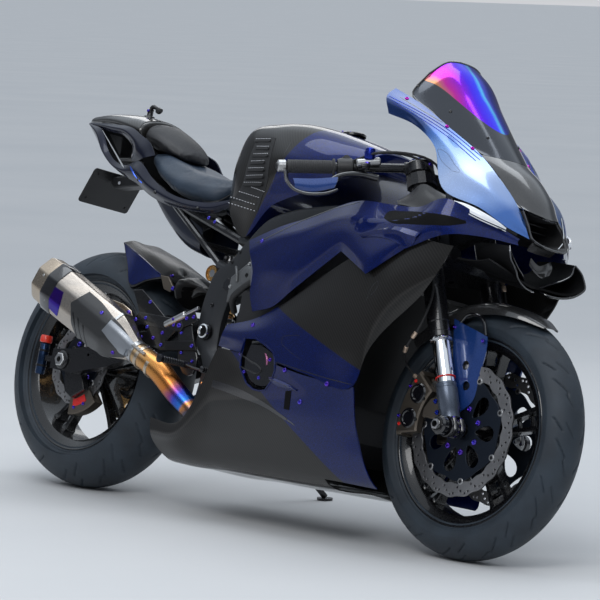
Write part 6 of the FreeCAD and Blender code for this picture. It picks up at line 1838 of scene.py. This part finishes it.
def chain_path():
    """The chain's joints, at equal spacing around the two sprockets, in the middle plane."""
    front, small = Vector((-95, 0, 448)), 40.69
    rear, large = REAR_AXLE, 113.79
    gap = front - rear
    distance = gap.length
    tilt = math.atan2(gap.z, gap.x)
    lean = math.acos((large - small) / distance)
    top, low = tilt + lean, tilt - lean
    steps = 60
    line = [rear + polar(large, top + (2 * math.pi - 2 * lean) * index / steps) for index in range(steps + 1)]
    line += [front + polar(small, low + 2 * lean * index / steps) for index in range(steps + 1)]
    line.append(line[0])
    lengths = [(b - a).length for a, b in zip(line, line[1:])]
    total = sum(lengths)
    count = 2 * round(total / CHAIN_PITCH / 2)
    places, index, walked = [], 0, 0.0
    for link in range(count):
        goal = total * link / count
        while walked + lengths[index] < goal:
            walked += lengths[index]
            index += 1
        places.append(line[index].lerp(line[index + 1], (goal - walked) / lengths[index]))
    return places


def build_chain():
    shape = Shape("drive_chain_links")
    places = chain_path()
    count = len(places)
    for index, place in enumerate(places):
        after = places[(index + 1) % count]
        run = (after - place).normalized()
        high = Vector((-run.z, 0, run.x))
        for hand in (-1, 1):
            y = CHAIN_Y + hand * (8.0 if index % 2 else 6.0)
            ring = []
            for centre, start in ((place, 90), (after, -90)):
                for step in range(5):
                    turn = math.radians(start + 45 * step)
                    ring.append(centre + (run * math.cos(turn) + high * math.sin(turn)) * 6.4)
            middle = place.lerp(after, 0.5)
            loop = ring[:5] + [middle - high * 5.0] + ring[5:] + [middle + high * 5.0]
            shape.loops([[p + Vector((0, y - 0.9, 0)) for p in loop], [p + Vector((0, y + 0.9, 0)) for p in loop]],
                        "gold_chain")
        for half, radius, sides in ((8.9, 2.6, 8), (5, 4.9, 10)):
            shape.rod(place + Vector((0, CHAIN_Y - half, 0)), place + Vector((0, CHAIN_Y + half, 0)), radius, "steel",
                      sides, 0.3)
    shape.finish("frame", "steel", ["drive_chain"], angle=40)


def build_rearsets():
    for side, name in SIDES:
        face = side * 152.3
        shape = Shape("foot_control_" + name)
        outline = [(-264, 438), (-260, 456), (-248, 466), (-230, 462), (-214, 452), (-205, 430), (-190, 404),
                   (-172, 374), (-170, 350), (-178, 330), (-196, 324), (-215, 330), (-234, 350), (-246, 372),
                   (-252, 405)]
        shape.prism(outline, face, face + side * 8, "black_metal", 1.4)
        for x, z, radius in ((-250, 452, 6), (-246, 430, 5), (-205, 352, 9), (-222, 400, 7), (-186, 362, 5),
                             (-232, 380, 5)):
            shape.bolt((x, side * 160.4, z), (0, side, 0), radius, "violet")
        profile = [(5, 0), (9, 1), (9, 14)]
        for index in range(9):
            profile += [(9.0, 16 + index * 8), (7.6, 18 + index * 8), (9.0, 20 + index * 8)]
        profile += [(9, 90), (11, 91), (11, 94.5), (5, 96)]
        shape.lathe((-205, face + side * 8, 352), profile, 20, "black_metal", (0, side, 0), closed=False)
        lever = [(-205, face + side * 15, 352), (-170, face + side * 16, 346), (-135, face + side * 15, 344),
                 (-118, face + side * 15, 346)]
        shape.tube(lever, 5.5, "black_metal", sides=12, flat=0.7)
        shape.lathe((-120, face + side * 12, 345), [(4, 0), (8, 1), (8, 5), (6.5, 6), (8, 7), (8, 12), (6.5, 13),
                                                    (8, 14), (8, 20), (4, 22)], 18, "black_metal", (0, side, 0),
                    closed=False)
        lattice = on_plane(((134, 290), (143, 289.5), (153, 301), (169, 321), (195, 311), (198, 321), (176, 331),
                            (166, 341), (194, 341), (197, 351), (160, 350), (138, 341), (139, 332), (147, 331),
                            (141, 316)), -163)
        shape.prism(side_view(lattice), face + side * 9, face + side * 13, "shell_black", 1)
        for u, v in ((150.6, 302), (145.9, 318), (147.3, 327), (141.2, 337), (153.3, 338), (162.7, 333), (161, 345),
                     (174, 325), (187, 318.5), (194, 317), (192, 346)):
            spot = at_side(u, v, -165)
            shape.bolt((spot.x, face + side * 13, spot.z), (0, side, 0), 5.5, "violet")
        if side < 0:
            low, high = at_side(166, 325, -163), at_side(199, 308, -163)
            run = (high - low).normalized()
            shape.rod(low, low + run * (high - low).length * 0.62, 10, "bare_metal", 28, 2)
            shape.rod(low + run * (high - low).length * 0.6, high, 5, "steel", 18, 1)
            shape.bolt(low.lerp(high, 0.3) + Vector((0, -10, 0)), OUT_RIGHT, 4, "violet")
        shape.finish("frame", "black_metal", ["rearset_" + name])


def build_rear_brake():
    shape = Shape("rear_brake_caliper")
    disc = REAR_DISC_Y
    for near, far in ((-13, -5.6), (5.6, 21)):
        shape.prism(sector(REAR_AXLE, 76, 135, 271, 317, 10), disc + near, disc + far, "bronze", 2.5)
    shape.prism(sector(REAR_AXLE, 124, 136, 271, 317, 10), disc - 12, disc + 20, "bronze", 2)
    shape.prism(sector(REAR_AXLE, 96, 116, 280, 306, 6), disc - 15, disc - 12, "red", 0.6)
    bracket = [(-22, 22), (22, 22), (34, 0), (70, -66), (24, -92), (-6, -78), (-22, -22)]
    shape.prism([(REAR_AXLE.x + x, REAR_AXLE.z + z) for x, z in bracket], -95.6, -117.6, "black_metal", 2)
    for turn in (282, 300):
        shape.bolt(REAR_AXLE + polar(118, math.radians(turn), -99), OUT_RIGHT, 5, "violet")
    can = Vector((REAR_AXLE.x - 100, -133, 272))
    shape.lathe(can, [(0.5, 0), (11, 0), (13, 3), (13, 80), (11, 83), (0.5, 84)], 32, "canister_blue", UP, closed=False)
    knurl = [(0.5, 84), (14, 84), (16, 86), (16, 100), (14, 103.5), (0.5, 104)]
    shape.lathe(can, knurl, 24, "cap_red", UP, closed=False)
    for z in (20, 60):
        shape.lathe(can + Vector((0, 0, z)), [(13, 0), (14.2, 0.5), (14.2, 5.5), (13, 6)], 32, "black_metal", UP)
    shape.prism([(can.x + 12, 308), (can.x + 12, 324), (can.x + 53, 324), (can.x + 53, 308)], -137, -129, "black_metal",
                1.5)
    shape.finish("frame", "steel", ["rear_brake"])
    shape = Shape("rear_axle_shaft")
    shape.lathe(REAR_AXLE, [(8, -156), (12.4, -156), (12.4, 156), (8, 156)], 36, "bare_metal", ACROSS)
    for side, _ in SIDES:
        shape.lathe(REAR_AXLE, [(12.5, side * 148.2), (24, side * 148.2), (24, side * 152), (21, side * 154),
                                (12.5, side * 154)], 36, "black_metal", ACROSS)
        shape.lathe(REAR_AXLE, [(8, side * 152), (17, side * 152), (19, side * 154), (19, side * 160), (16, side * 162),
                                (8, side * 162)], 6, "bare_metal", ACROSS)
    shape.finish("frame", "bare_metal", ["rear_axle"])


def build_engine_details():
    """Covers, hoses and castings on the engine block that show in the window and beside the spars."""
    shape = Shape("engine_covers")
    for side, _ in SIDES:
        middle = (117, 373)
        for scale, near, far, material, soft in ((0.955, 188, 207, "shell_black", 7),
                                                 (0.84, 204, 211, "gloss_black", 3)):
            outline = [(middle[0] + (x - middle[0]) * scale, middle[1] + (z - middle[1]) * scale) for x, z in WINDOW]
            shape.prism(outline, side * near, side * far, material, soft)
        pill = on_plane(((242, 355), (250, 361), (258, 366), (261, 370.5), (257, 373.5), (250, 371), (239.5, 366)),
                        -212)
        shape.tube([(p.x, side * 211.5, p.z) for p in pill], 2.0, "shell_black", sides=8)
        bar = on_plane(((265, 353.5), (267, 358.5), (266.5, 365)), -212)
        shape.tube([(p.x, side * 211, p.z) for p in bar], [1.6, 3.6, 1.6], "rose_metal", sides=10)
        for u, v in ((241.5, 354), (271, 360), (245, 372), (259.5, 378)):
            spot = at_side(u, v, -208)
            shape.bolt((spot.x, side * 210.5, spot.z), (0, side, 0), 5, "violet")
        shape.prism([(-96, 520), (-96, 585), (-40, 628), (30, 640), (50, 600), (10, 566), (-40, 545)], side * 122,
                    side * 176, "cast_grey", 8)
        shape.lathe((-24, side * 176, 592), [(6, 0), (22, 0), (24, 2), (24, 6), (18, 9), (6, 9)], 30, "cast_grey",
                    (0, side, 0))
        shape.tube([(-80, side * 150, 500), (-66, side * 176, 530), (-30, side * 182, 560), (30, side * 172, 600)],
                   [8, 9, 9, 8], "rubber", sides=14)
        shape.tube([(-90, side * 164, 612), (-70, side * 178, 600), (-62, side * 178, 574)], 3.5, "cast_grey", sides=10)
        for x, z in ((-84, 560), (-30, 622), (26, 616), (-66, 534)):
            shape.bolt((x, side * 176.5, z), (0, side, 0), 5, "bare_metal")
        for row in range(5):
            z = 430 + row * 20
            shape.prism([(150, z), (150, z + 6), (310, z + 6), (310, z)], side * 140, side * 158, "cast_grey", 1.5)
    shape.finish("frame", "engine_metal")
    shape = Shape("frame_fittings")
    for side, _ in SIDES:
        y = side * 152.5
        shape.lathe((-165, side * 160.5, 442), [(12, 0), (18, 0), (19, 1.5), (18, 5), (14.5, 6), (13, 2)], 36, "chrome",
                    (0, side, 0))
        shape.lathe((-165, side * 160.2, 442), [(0.5, 0), (12.5, 0), (12.5, 1.5), (0.5, 1.5)], 28, "void_black",
                    (0, side, 0), closed=False)
        slot = on_plane(((223, 288), (224, 282), (228, 278), (232, 280), (232, 286), (228, 291)), -152.4)
        shape.prism(side_view(slot), y, y + side * 1.2, "gloss_black", 0.4)
        for u, v, radius, material in ((204, 384, 9, "chrome"), (197, 399, 6, "black_metal"), (209, 218, 5, "violet"),
                                       (215, 222, 5, "violet"), (222, 345, 5, "violet"), (232, 262, 5, "black_metal"),
                                       (212, 305, 6, "black_metal"), (240, 252, 5, "black_metal")):
            place = at_side(u, v, -152.4)
            shape.bolt((place.x, y, place.z), (0, side, 0), radius, material)
    shape.finish("frame", "frame_metal")


SPAR = [((-162.8, 264.6), (-141.6, 269.5)), ((-158, 322), (-105.3, 311.6)), ((-157, 348), (-94, 346)),
        ((-172, 378), (-106, 378.6)), ((-196.5, 403.5), (-128.3, 398.6)), ((-203.5, 440), (-133, 431.4)),
        ((-205.5, 490), (-133, 481)), ((-198, 546), (-112, 550)), ((-186, 590), (-66, 596)), ((-136, 628), (-8, 630)),
        ((-90, 682), (24, 662)), ((-31, 740), (80, 684)), ((40, 768), (150, 700)), ((150, 790), (225, 712)),
        ((300, 812), (320, 724)), ((428, 822), (462, 735))]


def spar_face(x):
    """How far the outer face of the frame stands from the middle plane."""
    corners = ((-260, 152), (20, 152), (150, 140), (430, 62), (470, 50))
    for (x1, y1), (x2, y2) in zip(corners, corners[1:]):
        if x <= x2:
            return y1 + (y2 - y1) * (max(x, x1) - x1) / (x2 - x1)
    return 50


def build_spars():
    for side, name in SIDES:
        rings = []
        for upper, lower in SPAR:
            ring = []
            for share, drop in ((0, 32), (0, 9), (0.07, 1), (0.12, 0), (0.58, 0), (0.66, 1.5), (0.92, 9), (1, 15),
                                (1, 32)):
                x = upper[0] + (lower[0] - upper[0]) * share
                z = upper[1] + (lower[1] - upper[1]) * share
                ring.append((x, side * (spar_face(x) - drop), z))
            rings.append(ring)
        shape = Shape("frame_spar_" + name)
        shape.loops([list(row) for row in zip(*[spline([ring[i] for ring in rings], 5) for i in range(9)])],
                    "frame_metal")
        if side > 0:
            mount = [(-242, 234), (-205, 232), (-140, 285), (-124, 322), (-186, 322), (-242, 282)]
            shape.prism(mount, 152.2, 161, "black_metal", 1.5)
            shape.rod((-170, 130, 305), (-170, 154, 305), 14, "frame_metal", 20)
        for start, end in (((-215, 100, 616), (-120, 122, 598)), ((-150, 100, 684), (-60, 122, 676))):
            shape.rod((start[0] - 8, side * start[1], start[2] + 3), (end[0], side * end[1], end[2]), 11.5,
                      "frame_metal", 20)
        shape.finish("frame", "frame_metal", ["frame_spar_" + name], angle=30)


# ---- Stage, light and camera

def build_stage():
    mesh = bpy.data.meshes.new("floor")
    reach = 900
    mesh.from_pydata([(-reach, -reach, 0), (reach, -reach, 0), (reach, reach, 0), (-reach, reach, 0)], [],
                     [(0, 1, 2, 3)])
    floor = new_object("floor", mesh)
    floor.location.z = -0.0005
    material, tree, shader = new_material("pale_floor")
    place = node(tree, "ShaderNodeTexCoord").outputs["Object"]
    colour = mix_colour(tree, noise(tree, place, 0.8, 6, 0.3, 0.7), (0.60, 0.605, 0.61), (0.64, 0.64, 0.64))
    fill(shader, Base_Color=colour, Roughness=0.9, Specular_IOR_Level=0.1)
    mesh.materials.append(material)


def add_lamp(name, place, target, width, height, power, colour=(1, 1, 1)):
    data = bpy.data.lights.new(name, "AREA")
    data.shape = "RECTANGLE"
    data.size, data.size_y, data.energy, data.color = width, height, power, colour
    lamp = new_object(name, data)
    lamp.location = place
    lamp.rotation_euler = (Vector(target) - Vector(place)).to_track_quat("-Z", "Y").to_euler()


def build_light():
    world = bpy.data.worlds.new("studio")
    bpy.context.scene.world = world
    world.use_nodes = True
    tree = world.node_tree
    split = node(tree, "ShaderNodeSeparateXYZ", Vector=node(tree, "ShaderNodeTexCoord").outputs["Generated"])
    sky = ramp_colours(tree, split.outputs["Z"], ((0.0, (0.62, 0.63, 0.66)), (0.03, (0.60, 0.62, 0.66)),
                                                  (0.11, (0.11, 0.12, 0.14)), (0.36, (0.16, 0.18, 0.21)),
                                                  (0.56, (0.80, 0.88, 0.97)), (1.0, (0.82, 0.88, 0.96))))
    fill(tree.nodes["Background"], Color=sky, Strength=1.0)
    add_lamp("key", (2.2, -3.4, 3.6), (0, 0, 0.5), 2.6, 1.6, 66)
    add_lamp("top", (-0.3, 0.2, 3.4), (0, 0, 0.5), 3.4, 1.4, 40, (0.9, 0.95, 1.0))
    add_lamp("back", (-3.0, 2.6, 2.4), (0, 0, 0.6), 2.0, 1.2, 12)


def build_camera():
    right, top, ahead = camera_axes()
    data = bpy.data.cameras.new("camera")
    data.sensor_fit = "HORIZONTAL"
    data.sensor_width = 36
    data.lens = CAMERA_PIXELS * data.sensor_width / PHOTO_SIZE
    data.clip_end = 3000
    camera = new_object("camera", data)
    turn = Matrix((right, top, -ahead)).transposed().to_4x4()
    camera.matrix_world = Matrix.Translation(CAMERA_PLACE) @ turn
    bpy.context.scene.camera = camera
    bpy.context.scene.view_settings.view_transform = "Standard"


make_materials()
dress_nodes()
build_wheels()
build_side_panels()
build_cowl()
build_tank()
build_seats()
build_tail()
build_fork()
build_calipers()
build_fender()
build_controls()
build_spars()
build_inner_panels()
build_intake()
build_lamps()
build_chin_wing()
build_dash()
build_silencer()
build_pipe()
build_hugger()
build_shock()
build_chain()
build_rearsets()
build_rear_brake()
build_engine_details()
build_stage()
build_light()
build_camera()
